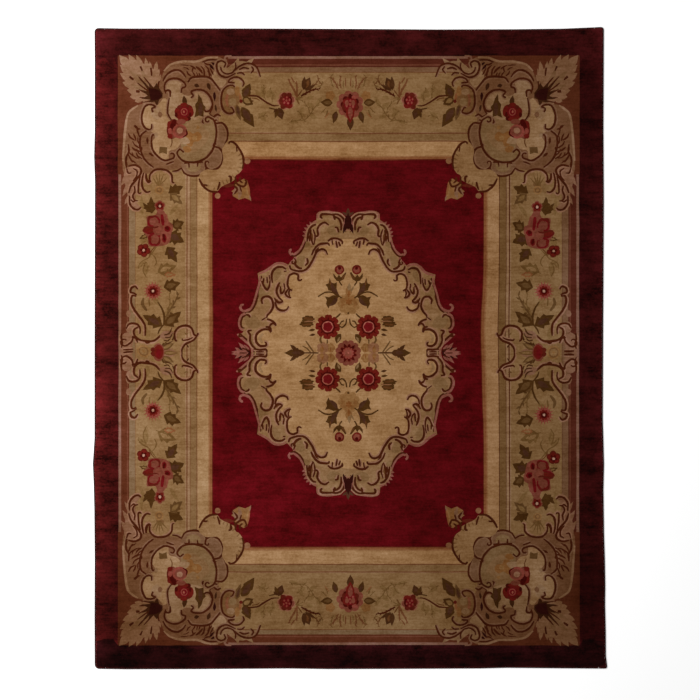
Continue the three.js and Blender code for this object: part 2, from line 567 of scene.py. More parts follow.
# %% Lay the rust ground and the cartouche
RUST_GROUND = [(57.5, 141.4), (110.8, 141.4), (110.8, 85.5), (98, 85.5), (90, 120), (57.5, 134)]
place([("rust", RUST_GROUND)])
CARTOUCHE = [
    (62, 140.8), (68, 140.6), (72, 139), (80, 139), (85, 137.4), (88.4, 134.2), (91, 128), (97, 119.5),
    (103.5, 117.2), (106.8, 112), (107.4, 105), (108.2, 98), (108.6, 92), (107.8, 86), (103, 82),
    (96, 86), (86, 87.4), (79.6, 88), (76.6, 85), (72, 85), (68.2, 88.2), (62.6, 88.2), (60, 92),
    (60.4, 97.4), (58, 103), (59, 108.6), (62, 110.6), (60.6, 116), (57, 114.4), (53.8, 117), (54.4, 122),
    (58, 127), (54, 131), (58, 134), (58.4, 138),
]
place([("cartouche tan", flowing(*CARTOUCHE, closed=True))])
CARTOUCHE_PANELS = [
    # shade, and the places round the panel
    ("panel cream", [
        (92, 118), (97, 119), (99.6, 115), (98.6, 109), (95.6, 106.4), (92.6, 103.6), (94.4, 100.6),
        (93.8, 96.6), (90, 92.6), (86.6, 92.4), (86, 96.6), (82, 98), (80, 103), (82, 110), (86, 114),
        (86.4, 120), (88.6, 121.4),
    ]),
    ("panel light", [
        (80, 124), (80.4, 129.6), (84, 130.6), (87.6, 128.8), (88, 125), (85.8, 124.6), (86.2, 119.6),
        (86.6, 113), (83, 109), (80, 112), (77, 112), (73.4, 110), (67.4, 112.6), (65.6, 116),
        (65.8, 120.6), (68.4, 124.4), (74, 125.2), (75.2, 123), (77.8, 122.6),
    ]),
    ("shell olive", [
        (80.5, 97.3), (82, 96), (80, 92.4), (75.5, 91.4), (70, 92.5), (65.6, 96.4), (63.6, 102),
        (63.5, 109), (65.2, 112.2), (69, 112.8), (74, 111), (79, 111), (82, 106), (80.6, 101),
    ]),
    ("shell haze", [
        (76.8, 110.2), (72, 111.2), (69.6, 107.6), (66.4, 105), (67.6, 101.4), (70.4, 98.4), (74.2, 96),
        (79.4, 96.6), (77.2, 101.4), (78.6, 105.4),
    ]),
    ("shell ochre", [
        (77, 106.2), (74.4, 104.8), (72.2, 105.8), (70.2, 103.4), (71.8, 101.2), (74, 101), (75, 98.8),
        (77.6, 99.6), (77.2, 102.4), (78.6, 104),
    ]),
    ("ochre light", [(74.6, 103.8), (72.6, 103.6), (72.8, 101.8), (74.8, 102)]),
    ("panel light", [(80.4, 103.8), (77.4, 103), (76, 100.6), (78.6, 99.8), (80.8, 100.4)]),
    ("shell ochre", [(79.4, 98.4), (77, 99), (75.2, 97.4), (76.4, 96), (79, 96.4)]),
    ("ochre light", [(72.4, 108.8), (71.2, 107.6), (72.8, 106.8)]),
    ("panel light", [(94, 118.6), (91, 117.6), (89.4, 113.6), (91.8, 111.2), (94.6, 113.4)]),
    ("cartouche tan", [(90.8, 115.2), (89.2, 113.8), (90.4, 112.2), (91.6, 113.6)]),
    ("panel light", [
        (65.4, 131.6), (63.4, 134.6), (61.8, 133), (58.4, 129.4), (61, 126.4), (63.4, 128.6),
    ]),
]
place(patches(CARTOUCHE_PANELS))

# %% [markdown]
# ## The fan at the corner's tip
#
# From the point of each cartouche a fan of tan feathers spreads towards the carpet's
# corner, out of a dark heart. Every feather is a leaf from the heart to its own tip, and
# they overlap as real feathers do.

# %% Spread the fan
FAN_HEART = (94, 123.5)
FAN_TIPS = [
    # where each feather ends, and how wide it is
    ((110.2, 141.6), 4.6), ((105.6, 142), 3.6), ((101.9, 141.8), 2.8), ((97.6, 140.4), 2.2),
    ((95.4, 138.8), 2), ((92, 138.8), 2.2), ((90.8, 135.4), 1.8), ((109.8, 137), 3.8),
    ((109.8, 133.2), 3.8), ((108.6, 129), 3.4), ((106.4, 125.2), 3.2), ((105, 122), 3.2),
    ((102.6, 119.8), 2.8), ((98.8, 118.8), 2.4), ((90, 132.6), 1.6),
]
place([("fan tan", leaf(FAN_HEART, tip, width, swell=2.6)) for tip, width in FAN_TIPS])
FAN_BODY = [
    (92, 132), (93, 134.4), (97, 137), (102, 138.6), (106.4, 138), (107, 134), (105.4, 129),
    (105.2, 125.4), (103.4, 122), (99, 120.2), (95, 121),
]
FAN_FOLDS = [
    # from, to, width
    ((96, 126), (105.4, 134.6), 3.4), ((96, 126.4), (99.8, 136), 2.4), ((96, 124.6), (104.6, 127.8), 2.6),
]
place(patches([("fan tan", FAN_BODY)]) + leaves("fan olive", FAN_FOLDS))
FAN_RIBS = [
    # from, to, width
    ((100, 136.4), (99, 134.2), 1), ((94.9, 135.8), (94.4, 131.9), 0.9),
    ((105.2, 131.6), (103.2, 130), 1.1), ((102, 124.7), (100.2, 124.5), 1.3),
    ((94.6, 125), (101, 131.6), 0.9), ((93.4, 125.8), (98.4, 131.4), 0.8),
    ((95.4, 124.2), (101.4, 128.6), 0.8), ((95.6, 123), (100.8, 125.6), 0.7),
    ((95, 121.4), (100.4, 121.8), 0.7), ((95, 120.2), (99.2, 119.4), 0.7),
    ((91.4, 126), (91, 129.6), 0.9), ((92.4, 120.8), (92.2, 117.6), 1),
]
place([("outline", stroke(flowing(start, end), width, 1, 0.4)) for start, end, width in FAN_RIBS])
HEART_EDGE = [
    (99.8, 130.2), (95.6, 126.6), (96.2, 129), (93.6, 126.4), (92, 128.6), (90.8, 126), (89.2, 123.8),
    (89.2, 121.6), (90.8, 120.8), (91.6, 118.2), (93.2, 119.8), (96.6, 118.6), (95.2, 120.8),
    (99.6, 121.2), (96.4, 122.6), (99.4, 125.4), (95.8, 124.4),
]
HEART = [
    (96, 126.2), (92.4, 125.8), (90.6, 124.8), (89.4, 122.6), (91.4, 120.6), (94.8, 120.4), (95.4, 122.6),
]
place([("dusk brown", HEART_EDGE), ("heart maroon", HEART)])
print(len(FAN_TIPS), "feathers in the fan")

# %% [markdown]
# ## The cartouche's scrolls
#
# The same springy lines as in the medallion hold the cartouche together. Outside them run
# short feather strokes, and the lobes of the shell hang below them towards the field.

# %% Draw the lobes of the shell
LOBES = [
    # shade, and the places round it
    ("lobe", [
        (64, 110), (61.5, 110.2), (58.8, 108.4), (57.8, 105.6), (58, 102), (60, 98), (63, 98.6),
        (63.4, 104),
    ]),
    ("lobe", [
        (65, 98), (62, 98.4), (60.2, 95.4), (60.3, 91.4), (62.8, 88.2), (66.6, 87.6), (69.2, 90),
        (69, 93),
    ]),
    ("lobe", [
        (68.6, 91.2), (68.4, 87.6), (70.6, 85.4), (75, 84.8), (78.6, 86), (80, 88.6), (79.8, 91.6),
        (74, 91.4),
    ]),
    ("shell olive", [(71, 90.6), (71.4, 87.8), (74.6, 86.6), (77.4, 88), (77.6, 90.4)]),
]
place(patches(LOBES))

# %% Draw the scrolls
CARTOUCHE_SCROLLS = [
    # width, the places gone through, and the curl at the first or last one: size, turn
    (0.75, [
        (93.9, 114.8), (94.4, 116.6), (92.8, 117.4), (94.2, 118.3), (97.2, 118), (99.2, 113.6),
        (98.6, 108.8), (96.4, 106.8), (94.6, 107.2), (94.6, 109.4),
    ]),
    (0.7, [(97, 106.2), (99.6, 104), (100.2, 99.6), (98.8, 94.2), (96, 90.6), (93.6, 88.8)]),
    (0.7, [
        (91.8, 103.6), (94, 104.2), (94.6, 101), (94, 97.4), (91.4, 94), (88, 92.2), (84.6, 93),
    ], {"last": (3.2, -230)}),
    (0.7, [
        (87.6, 123.6), (88.4, 126.6), (87.4, 129.2), (84.8, 130.6), (81.4, 130.4), (78.4, 128.4),
        (78.2, 126.8), (79.8, 126.2), (80.2, 123.8),
    ]),
    (0.7, [(87.9, 124), (87.2, 125.2), (85.6, 124.8), (85.6, 122)]),
    (0.75, [(89, 129.4), (87.4, 132.2), (84.8, 134.2), (81.4, 134.6), (79.2, 133), (78, 131.2)]),
    (0.75, [
        (77, 128.8), (75.4, 131), (73, 131.5), (68, 131.5), (65.8, 130.6), (63.6, 128), (61.2, 124.8),
    ]),
    (0.6, [(84.6, 87), (82, 87.4), (79.9, 88.7)]), (0.6, [(87.4, 90.3), (85.4, 91.2), (83.8, 91.6)]),
    (0.6, [(70, 138.4), (66.4, 139.5), (61.8, 139.3)]),
    (0.75, [
        (75.6, 121.6), (74.4, 122.6), (75.4, 124.4), (73.6, 125.3), (70, 125.2), (67, 123.2),
        (65.4, 120.2), (65.2, 117), (66.6, 114),
    ]),
    (0.6, [(86, 121.6), (86.6, 118), (86.6, 114), (84, 110)]),
    (0.7, [(65.4, 118), (66.2, 115.8), (68.2, 115.2), (69.4, 116.4)]),
    (0.7, [(66.6, 113.8), (64.6, 112.6), (62.8, 113.8), (61, 113)]),
    (0.65, [(66.4, 112.6), (68.6, 112.4), (69.8, 110.8)], {"last": (1.5, -160)}),
]
SHELL_EDGES = [
    # width, places, curls
    (0.75, [
        (79, 96), (80.8, 97.4), (82.2, 95.8), (80.2, 92.6), (77, 91.4), (72.6, 91.5), (68.6, 93.2),
        (65.4, 96.6), (63.6, 101.6), (63.2, 107), (64.4, 111), (66.4, 112.4),
    ], {"last": (3, -300)}),
    (0.7, [(63, 109.6), (60.4, 109.8), (58.2, 107.2), (57.9, 102.8), (59.8, 98.2)], {"first": (2, 250)}),
    (0.7, [
        (64, 98.6), (61.8, 98), (60.2, 95.6), (60.2, 91.8), (62.4, 88.6), (65.8, 87.6), (68.2, 89),
        (68.6, 90.6),
    ], {"first": (1.8, 260), "last": (2.2, 230)}),
    (0.7, [(68.6, 91), (68.2, 88), (70.2, 85.6), (74.4, 84.7), (78.4, 85.9), (80, 88.4)]),
    (0.6, [(69.6, 91.4), (72, 91.2), (72.4, 89.2)]), (0.6, [(78.8, 90.8), (76.6, 91), (76.4, 88.8)]),
    (0.7, [(105.8, 99.8), (105.4, 96.4), (106.8, 93.6), (106.8, 90), (105.6, 86.6)]),
]
place(drawn(CARTOUCHE_SCROLLS, glow="corner glow") + drawn(SHELL_EDGES, glow="lobe glow"))
print(len(CARTOUCHE_SCROLLS) + len(SHELL_EDGES), "scrolls in a cartouche")

# %% [markdown]
# Outside the scrolls the cartouche is feathered with short dark barbs, as a plume is. On the
# real one no two are alike, so they are set down one by one.

# %% Add the barbs of the plumes
SIDE_BARBS = [
    # where it starts, bends and ends, and its width
    ((103.2, 108.6), (101.7, 107.4), (99.9, 106.8), 0.8),
    ((101.7, 107.4), (101.1, 105.2), (99.6, 101.8), 0.8),
    ((105.8, 105), (104.8, 103), (102.6, 101.6), 0.9),
    ((103.4, 104.8), (102.5, 103.2), (102, 101.4), 0.9),
    ((103.8, 101.4), (102.6, 99.4), (99.4, 97.6), 0.8), ((105.9, 99), (105.5, 96.2), (102.8, 93.8), 0.8),
    ((102.8, 93.8), (101.7, 93.4), (100.4, 93.2), 0.6), ((104.2, 98.4), (102.2, 97), (100, 96.4), 1),
    ((100, 96.4), (99.4, 97.2), (99.2, 98.6), 0.8), ((102.2, 96), (101.2, 94.2), (99, 93), 0.8),
    ((106, 95.4), (104.8, 93), (103.6, 91.2), 0.9), ((101.8, 97.6), (100.8, 95.8), (99.4, 94.4), 0.7),
    ((104, 96.2), (103.4, 94.6), (101.6, 93.2), 0.7), ((106.2, 94.6), (106.8, 92), (106.2, 89.8), 0.7),
    ((101, 103.6), (101.2, 101.4), (100.4, 99.6), 0.7),
]
END_BARBS = [
    # where it starts, bends and ends, and its width
    ((76.2, 136.9), (74.6, 136.2), (73.2, 135), 0.8), ((74.4, 136), (74.7, 134.8), (75, 133.8), 0.8),
    ((77.6, 134.4), (76.9, 132.9), (75.6, 131.8), 0.8), ((75, 133.8), (74, 132.9), (73.4, 131.2), 0.7),
    ((73.2, 136.3), (71.4, 135), (69.8, 133), 1.1), ((70.8, 136.6), (69.3, 134.8), (68.9, 131.2), 0.9),
    ((69, 137), (67.2, 135.2), (66.4, 131.2), 0.9), ((69.3, 138.2), (67.6, 137.2), (66, 137.3), 0.9),
    ((67.8, 139), (65.6, 139.5), (62.6, 139.2), 0.7), ((67.6, 134.4), (66.6, 133.3), (65.4, 131.6), 0.8),
    ((80.6, 137), (78.4, 137), (76.4, 136.7), 0.5), ((71.8, 133.4), (71.2, 132.4), (71.2, 131.2), 0.7),
    ((66.4, 135.8), (65.4, 134), (64.6, 132.4), 0.8), ((73, 133.6), (72.4, 132.6), (72.4, 131.4), 0.6),
    ((79.2, 136), (77.6, 135.6), (76.4, 134.6), 0.6),
]
for start, bend, end, width in SIDE_BARBS + END_BARBS:
    place([("outline", stroke(flowing(start, bend, end), width, 0.3, 0.5))])
CARTOUCHE_STROKES = [
    # shade, from, to, width
    ("dusk brown", (74, 127.6), (71.4, 127), 1.9), ("dusk brown", (67.4, 128.6), (66.2, 125), 1.9),
    ("heart maroon", (64.2, 124.4), (64, 119.8), 1.4), ("dusk brown", (63.8, 118.4), (63.2, 114.8), 1.2),
    ("outline", (96.7, 103.2), (96.4, 99.6), 1.2), ("outline", (95.8, 95.8), (93.2, 94), 1.2),
    ("outline", (102.8, 109), (100.6, 106.2), 1.1), ("outline", (104.6, 92.6), (101.6, 90.6), 0.8),
    ("heart maroon", (66.6, 137.4), (64.2, 134.6), 1.2),
    ("heart maroon", (65.8, 138.3), (63.2, 136.6), 1.1),
]
place(shaded_leaves(CARTOUCHE_STROKES))
print(len(SIDE_BARBS + END_BARBS), "barbs of the plumes")

# %% [markdown]
# ## Inside the cartouche
#
# Two roses and a spray lie in the shell's hollow, with leaves of olive to each side.

# %% Plant the cartouche's roses
LEAF_BLOCK = [
    (73.8, 112.3), (73.1, 116), (73.5, 118.4), (72.2, 120.2), (72, 123.4), (70.5, 121.4), (69.6, 118.6),
    (68.3, 117.2), (69.4, 115.4), (69.4, 112.7), (71.6, 113.3),
]
place([("leaf olive", LEAF_BLOCK), ("mauve brown", oval((70.9, 116.4), 1.1, 3))])
place([("leaf brown", leaf((78.2, 118), (79, 122.8), 2.4))])
LOW_LEAF = [(86.9, 98.4), (90.6, 98.6), (91, 95.4), (89.2, 95.9), (87.2, 95.1)]
place([("leaf light", LOW_LEAF), ("frond tan", oval((92.3, 104.2), 0.9, 1.2))])
place(twig((85.4, 98.4), (84.6, 100.6), (84.8, 103), width=0.5, shade="stem brown"))
place([("rose rim", petals((78.6, 114.9), 4.4, 7, 0.13, 12))])
CARTOUCHE_ROSES = [
    # shade, middle, half widths, turn
    ("rose rim", (84.2, 107), (3, 4.8), 10), ("dusty pink", (83.4, 106), (2.2, 3.4), 10),
    ("rose red", (85.9, 108.8), (1.1, 1.9), 0), ("rose shadow", (84.2, 108.6), (1.3, 3), 20),
    ("pink", (85.6, 106), (1, 1.5), 0), ("rose red", (85.6, 103.6), (1.3, 1.2), 0),
    ("pink", (80.9, 105.8), (3.6, 3.4), 0), ("dusty pink", (80.6, 106), (2.7, 2.5), 0),
    ("scroll rose", (80.9, 106.2), (1.5, 1.4), 0), ("rose red", (82, 114.4), (1.4, 2.6), -10),
    ("rose red", (75.5, 115.4), (1.3, 2.6), -10), ("rose red", (80.2, 111.7), (1.6, 1.1), 0),
    ("rose shadow", (77, 111.8), (1.5, 1.1), 0), ("rose red", (79, 118.4), (1.6, 1), 0),
    ("rose shadow", (82.6, 113.6), (0.8, 1.2), 0), ("rose shadow", (75.9, 113.8), (0.7, 1.1), 0),
    ("rose red", (79, 111.6), (2.2, 1.2), 0), ("rose heart", (78.7, 115), (2.5, 2.6), 0),
    ("pink", (78.8, 115), (1.7, 1.8), 0), ("rose heart", (78.7, 115), (1.2, 1.3), 0),
    ("rose ring", (78.9, 115.1), (0.5, 0.6), 0),
]
place(ovals(CARTOUCHE_ROSES))
place(strokes("rose shadow", [(0.8, [(77.8, 106.8), (77.4, 104.6), (79.4, 103)])], 0.5, 0.4))
place([("dusty pink", oval((80.2, 110.4), 2.3, 1.3))])
SIDE_RIM = [(101, 118), (105.6, 114.6), (107.2, 107), (107.9, 99), (108.4, 92)]
HEAD_RIM = [(88.6, 134.2), (85.4, 137.2), (80, 138.6), (72, 138.8), (67.6, 140.4), (62.4, 140.6)]
place(strokes("rim tan", [(1.1, SIDE_RIM)]) + strokes("rim tan", [(1, HEAD_RIM)], 0.6, 0.8))

# %% [markdown]
# ## The acanthus over the field
#
# Below the shell a cream acanthus leaf folds over the corner of the guard stripe and hangs
# into the crimson, with a small bell of a flower at its tip.

# %% Fold the acanthus over
ACANTHUS = [
    (57, 101.8), (53.8, 100), (51.4, 97), (50.2, 93.6), (50.2, 90.4), (51, 87.8), (52.4, 86), (54, 85),
    (54.6, 82.8), (56, 82), (57.4, 81.2), (59.4, 80.4), (61.4, 79.2), (62.8, 77.4), (66.6, 77.4),
    (70, 80.2), (71.8, 84.4), (68.4, 87.8), (62.4, 88), (60, 92), (60.4, 97.4),
]
BELL = [
    (50.2, 83.6), (48.4, 82.6), (47.9, 78.6), (46.6, 73), (49.4, 74.3), (52.4, 73.4), (55.4, 75.2),
    (54.2, 76.6), (56, 77.4), (54.2, 78.8), (54.8, 81), (52.6, 82),
]
place([("field edge", leaf((61, 80), (54, 80.4), 2)), ("acanthus cream", flowing(*ACANTHUS, closed=True))])
place([("bell tan", BELL)])
BELL_LEAVES = [
    # shade, from, to, width
    ("corner glow", (51.6, 80.4), (55.6, 75.6), 2.6), ("corner glow", (50.8, 80), (52.6, 73.4), 2),
    ("ochre", (49.6, 81), (50.4, 74.6), 2.4), ("ochre light", (48.6, 80.4), (47.4, 74.2), 1.5),
    ("ochre brown", (48.4, 82.4), (46.9, 73.2), 1), ("corner glow", (47.4, 75.6), (46.6, 72.6), 0.8),
]
place(shaded_leaves(BELL_LEAVES))
place([("tan petal", disc((48.4, 92), 1.5, 10)), ("tan petal", disc((62.6, 75.3), 1.4, 10))])
FRAY = [
    # where a hair of the frayed edge starts and ends
    ((52.2, 97.6), (54.2, 95.8)), ((51.2, 95.4), (53.2, 94)), ((50.6, 93.2), (52.6, 92.4)),
    ((50.4, 91), (52.4, 90.8)), ((50.8, 88.6), (52.8, 89.2)), ((52.2, 86.4), (53.6, 88)),
    ((54.4, 83.8), (56, 85.4)), ((55.8, 82.2), (57.2, 84.4)), ((57.6, 81.2), (58.6, 83.2)),
    ((59.4, 80.4), (60.2, 82.4)), ((61.2, 79.4), (61.6, 81.6)), ((64.6, 77.8), (64, 79.6)),
    ((68.2, 79.6), (66.8, 80.8)),
]
place([("blossom tan", leaf(start, end, 0.8)) for start, end in FRAY])
ACANTHUS_LINES = [
    # width, places, curls
    (0.8, [(57.4, 100), (56.6, 101), (54.6, 100.4), (52, 97.4), (50.4, 94), (50.2, 90.4), (50.8, 88.2)]),
    (0.8, [(62.8, 77.2), (66.4, 77.5), (69.8, 80.2), (71.6, 83.6)]), (0.7, [(67.6, 80.4), (69.8, 80.4)]),
    (0.7, [(61.6, 82), (62, 80), (62.8, 78)]), (0.8, [(57.4, 84.8), (56.2, 84.2), (56.4, 81.6)]),
    (0.5, [(53.6, 99.4), (53.4, 96.4)]),
    (0.75, [(54.1, 84.6), (53.9, 81.8), (52.2, 80.2), (49.9, 79.8), (48.9, 81.6)], {"last": (1.8, -150)}),
    (0.7, [(51.8, 84.2), (52, 82.6), (50.6, 81.4)]), (0.7, [(54.8, 80.2), (53.2, 78.4), (54.6, 76.2)]),
    (0.7, [(53.6, 82.4), (54.8, 80.6)]), (0.6, [(51.9, 79.6), (51.2, 77.2)]),
]
place(drawn(ACANTHUS_LINES, glow=None))

# %% [markdown]
# ## Where the frame lines end
#
# The end border begins beside the cartouche with a tall blossom held in a scroll, and over
# it a frond curls along the frame lines' ends.

# %% Draw the scroll and frond at the end of the end border
END_SCROLLS = [
    # width, places, curls
    (0.7, [
        (54.4, 126.6), (55.2, 127.4), (57.6, 127.2), (60, 125.2), (60.9, 121), (60.4, 117), (58.8, 114.8),
        (56.6, 114.2), (54.8, 115), (55.4, 116.6),
    ], {"last": (1.8, -120)}),
    (0.7, [(57.8, 128.9), (54.4, 128.7)]),
    (0.7, [(57.6, 129.2), (56.4, 130.6), (53.8, 131.4), (51.4, 130.6), (50, 128.6), (50.6, 126.8)]),
    (0.7, [
        (59.6, 135.8), (58.8, 137.8), (60.8, 139), (62.8, 138), (63, 135.4), (61.6, 132.4), (58.4, 131.2),
        (54, 133.2),
    ]),
    (0.6, [(61.2, 136.2), (60.8, 134.4), (58.4, 132.8), (55.4, 133.6), (54, 136), (54.2, 138.2)]),
    (0.7, [(54.6, 134.4), (51.6, 136.8), (47.6, 137.8), (44.2, 136.4), (42, 131.4)]),
    (0.6, [(52.2, 134.8), (50, 135.8), (47.4, 135.2)]),
    (0.6, [(53.4, 133.2), (51, 133.4), (49.6, 132.2)]),
    (0.6, [(46.4, 136.4), (45.4, 134.8), (46.8, 133)]),
]
TALL_BLOSSOM = [
    (54.4, 126.6), (58.6, 126.4), (60.4, 121), (58.6, 115.4), (55, 115.4), (52.4, 119), (52.6, 124),
]
BLOSSOM_SPOTS = [
    # shade, middle, half widths across and along, turn
    ("frond tan", (56.4, 124.4), (2, 1.6), 0), ("shell olive", (55.4, 119.6), (1.8, 2), 0),
    ("ochre", (53.2, 124.8), (1.2, 2.4), 0),
]
place(patches([("blossom tan", TALL_BLOSSOM)]))
place(strokes("blossom rose", [(1.3, [(57.2, 124.6), (58.4, 121), (57.8, 117.4)])]))
place(ovals(BLOSSOM_SPOTS))
place([("ochre brown", leaf((52, 124), (51.4, 119), 1.4)), ("rose rim", oval((51.4, 120), 0.9, 0.9))])
FROND = [
    # from, to, width, bend
    ((61, 133), (52.6, 141), 4, 0.2), ((58, 133.6), (43.2, 133.8), 5.4, -0.18),
    ((50, 136), (45.2, 140.2), 2.2, 0),
]
FROND_ROOT = [(58.4, 134), (59.4, 138.6), (62, 138.6), (62.6, 135), (60.6, 132.2)]
place([("frond tan", leaf(start, end, width, bend)) for start, end, width, bend in FROND])
place(patches([("frond tan", FROND_ROOT)]))
line_end = scroll((56, 141.2), (58, 141.2), last=(2.6, -200))
place([("tan line", stroke(line_end, 0.9, 1, 0.6))])
place(drawn(END_SCROLLS, glow="corner glow"))
print(len(cartoon), "layers so far")
# %% [markdown]
# ## The side borders
#
# Up each side grows a garland. From a palmette in the middle it goes past a daisy, a pair of
# pale leaves and one large rose to a shell under the corner's hood. The pale leaves are only
# a shade darker than the ground, so that the dark ones seem to lie in front of them.

# %% Shade the ground of the borders
GHOST_LEAVES = [
    # faint foliage behind the flowers: from, to, width
    ((96.2, 6.5), (97.4, 13), 3), ((90, 22), (96, 29), 2), ((84, 24), (89, 13), 3.6),
    ((99, 66), (99.4, 76), 2), ((86, 66), (81, 72), 2), ((99.5, 52), (97, 57.5), 3),
]
place(leaves("ghost", GHOST_LEAVES))
PALE_TENDRILS = [
    # fine curls under the large rose: width, places
    (0.6, [(92.2, 50.8), (94.5, 47.6), (96.2, 45.4), (99, 44), (100.6, 42.4), (100.8, 40.4)]),
    (0.6, [(94.4, 47.4), (92.8, 45.6), (92.2, 43.4), (93.2, 41.4)]),
    (0.6, [(97.2, 43.6), (98.3, 41.4), (98.5, 39), (97, 36.2)]),
    (0.45, [(99.8, 41.4), (98.8, 42.6), (96.8, 43.4)]), (0.45, [(96.4, 41.6), (96.8, 39.4)]),
]
place(leaves("ghost", [((97, 43.6), (97.4, 36.6), 2.6), ((97.4, 44.2), (101, 40.6), 1.8)]))
place(strokes("ghost edge", PALE_TENDRILS, 0.8, 0.6))

# %% Lay the palmette and the leafy scroll over the outer bands
VOLUTES = [
    # middle, half widths across and along
    ((106.4, 5.4), (3.1, 4.4)), ((106.6, 0), (3, 4)), ((105.6, 18.8), (1.2, 1.6)),
    ((105.6, 12.4), (1.4, 2.6)),
]
place([("volute rose", oval(middle, *reach)) for middle, reach in VOLUTES])
LEAFY_SCROLL = [
    (100.2, 88.4), (104.6, 90), (107.6, 87), (107.6, 81.6), (106, 75.6), (105.4, 70.6), (101.8, 67.8),
    (99.6, 69), (102.6, 73.2), (101.4, 78), (99.8, 83),
]
SCROLL_LEAVES = [
    # from, to, width
    ((104.6, 87), (109.4, 80), 2.8), ((104.8, 81.6), (108.6, 75), 2.4), ((104.4, 76.6), (107.6, 71), 2),
]
place(patches([("volute rose", LEAFY_SCROLL)]))
place(leaves("volute rose", SCROLL_LEAVES))

# %% Draw the side borders' scrolls
SIDE_SCROLLS = [
    # width, places, curls
    (0.75, [
        (95.4, 81.8), (95.4, 85), (93.4, 87.4), (90.4, 88), (87.2, 87.4), (84.8, 85.2), (84.6, 82.2),
    ], {"last": (1.4, -150)}),
    (0.9, [(97.2, 86), (97, 83.4), (96, 81.9), (94.8, 82.4)]),
    (0.75, [(98.4, 86.4), (99.2, 82.2), (98.6, 78.6), (96.8, 77), (95, 77.4)]),
    (0.8, [
        (105.8, 89.4), (102.6, 90), (100, 88.6), (99.6, 86.6), (101.6, 83.4), (104.4, 80), (105.6, 76.6),
    ]),
    (0.6, [(103.4, 88.4), (101.6, 87.2), (101.8, 84.6), (103.6, 82.4)]),
    (0.7, [(100, 84.8), (100.8, 81), (101, 77.2)], {"last": (1.8, -200)}),
    (0.6, [(106.6, 88.4), (105.8, 86.2), (104.2, 86.2)]),
    (0.65, [(103, 80), (102.6, 77.6), (103.6, 75.2), (102.8, 73.2), (101, 72.8)]),
    (0.75, [(105.2, 75.4), (105, 71.4), (103, 69), (101, 68.7), (99.6, 69.8)]),
    (0.6, [(104.6, 73.4), (103.2, 72.4), (102.2, 73.4)]),
    (0.75, [(101.2, 30.4), (102.4, 31.9), (104.2, 31.2), (104.7, 29.2), (103.2, 28.6), (101.6, 27.8)]),
    (0.8, [
        (101.8, 27.2), (103.8, 27.4), (104.4, 24.4), (102.8, 20.6), (100, 17), (98, 14), (97.5, 11.4),
        (97.7, 8.2),
    ]),
    (0.75, [(106.8, 11.6), (105.6, 13.7), (103, 14.2), (100.8, 13.2), (100, 11.2), (100.2, 9)]),
    (0.8, [
        (101, 12.4), (102.9, 11.2), (102.9, 8.6), (100.8, 6.4), (97.4, 5.6), (93.4, 5.8), (90.6, 8),
        (88, 9.6),
    ]),
    (0.7, [(104.2, 7.4), (102.2, 7), (101.2, 4.6)]), (0.6, [(97.6, 5.4), (96.8, 4.6), (95.4, 4.9)]),
    (0.8, [
        (83.2, 6.6), (83.4, 9.8), (81.2, 12.4), (77.8, 13.1), (75.2, 11.8), (74.3, 9.2),
    ], {"first": (2, -120), "last": (2.6, -200)}),
    (0.75, [(72.2, 8.8), (74.4, 6), (78.2, 4.2), (79.8, 1.8), (79.8, 0)]),
    (0.6, [(74.6, 7.4), (76.6, 6.4), (79, 6)], {"last": (1.4, 160)}),
    (0.7, [(103.4, 8.2), (104, 5.4), (105.8, 3.6)], {"last": (4.6, 290)}),
    (0.7, [(109, 9.4), (109.2, 6.6), (108.6, 4.2), (109.2, 2)]),
    (0.75, [(103.4, 0.9), (105.6, 0.7), (108.2, 0.9)]),
]
place(drawn(SIDE_SCROLLS))

# %% Grow the side borders' leaves
SIDE_LEAVES = [
    # base, tip, width, shade, heart
    ((86.2, 76.6), (79.2, 79.8), 6, "leaf olive", None),
    ((85.6, 76.4), (79.6, 71.2), 5.2, "leaf light", "ghost"),
    ((94.4, 66.8), (94.8, 75), 4.6, "leaf olive", None),
    ((94.8, 67.4), (98.8, 72), 3.4, "leaf olive", None),
    ((84.4, 60.4), (78.8, 62.8), 6.4, "leaf olive", "leaf light"),
    ((96.2, 56.6), (100.6, 54.6), 2.4, "leaf olive", "ghost"),
    ((86.2, 57), (78.8, 53), 7.6, "leaf olive", "mauve brown"),
    ((87, 50.8), (82.2, 43.4), 6.2, "leaf olive", "mauve brown"),
    ((91.6, 38.8), (82.4, 41.8), 6.6, "ghost edge", "camel"),
    ((88.4, 37.6), (82.6, 37.4), 3, "ochre brown", "camel"),
    ((88.6, 31.4), (80.4, 33.6), 6.6, "leaf olive", "leaf light"),
    ((89.4, 13), (98.8, 18.2), 6.6, "leaf olive", "mauve brown"),
    ((88.2, 13.2), (80.2, 19.8), 6.9, "leaf olive", "leaf light"),
    ((89.8, 3.2), (85.4, 4.8), 2.8, "leaf olive", "ghost"),
]
for base, tip, width, shade, heart in SIDE_LEAVES:
    place(vine_leaf(base, tip, width, shade, heart))
bent_leaf = strokes("leaf light", [(1.5, [(98.4, 26.4), (98.9, 23.4), (96.8, 20.2)])], 0.3, 0.5)
place(bent_leaf + strokes("ghost edge", [(0.8, [(95.8, 26), (95.4, 22.4)])]))
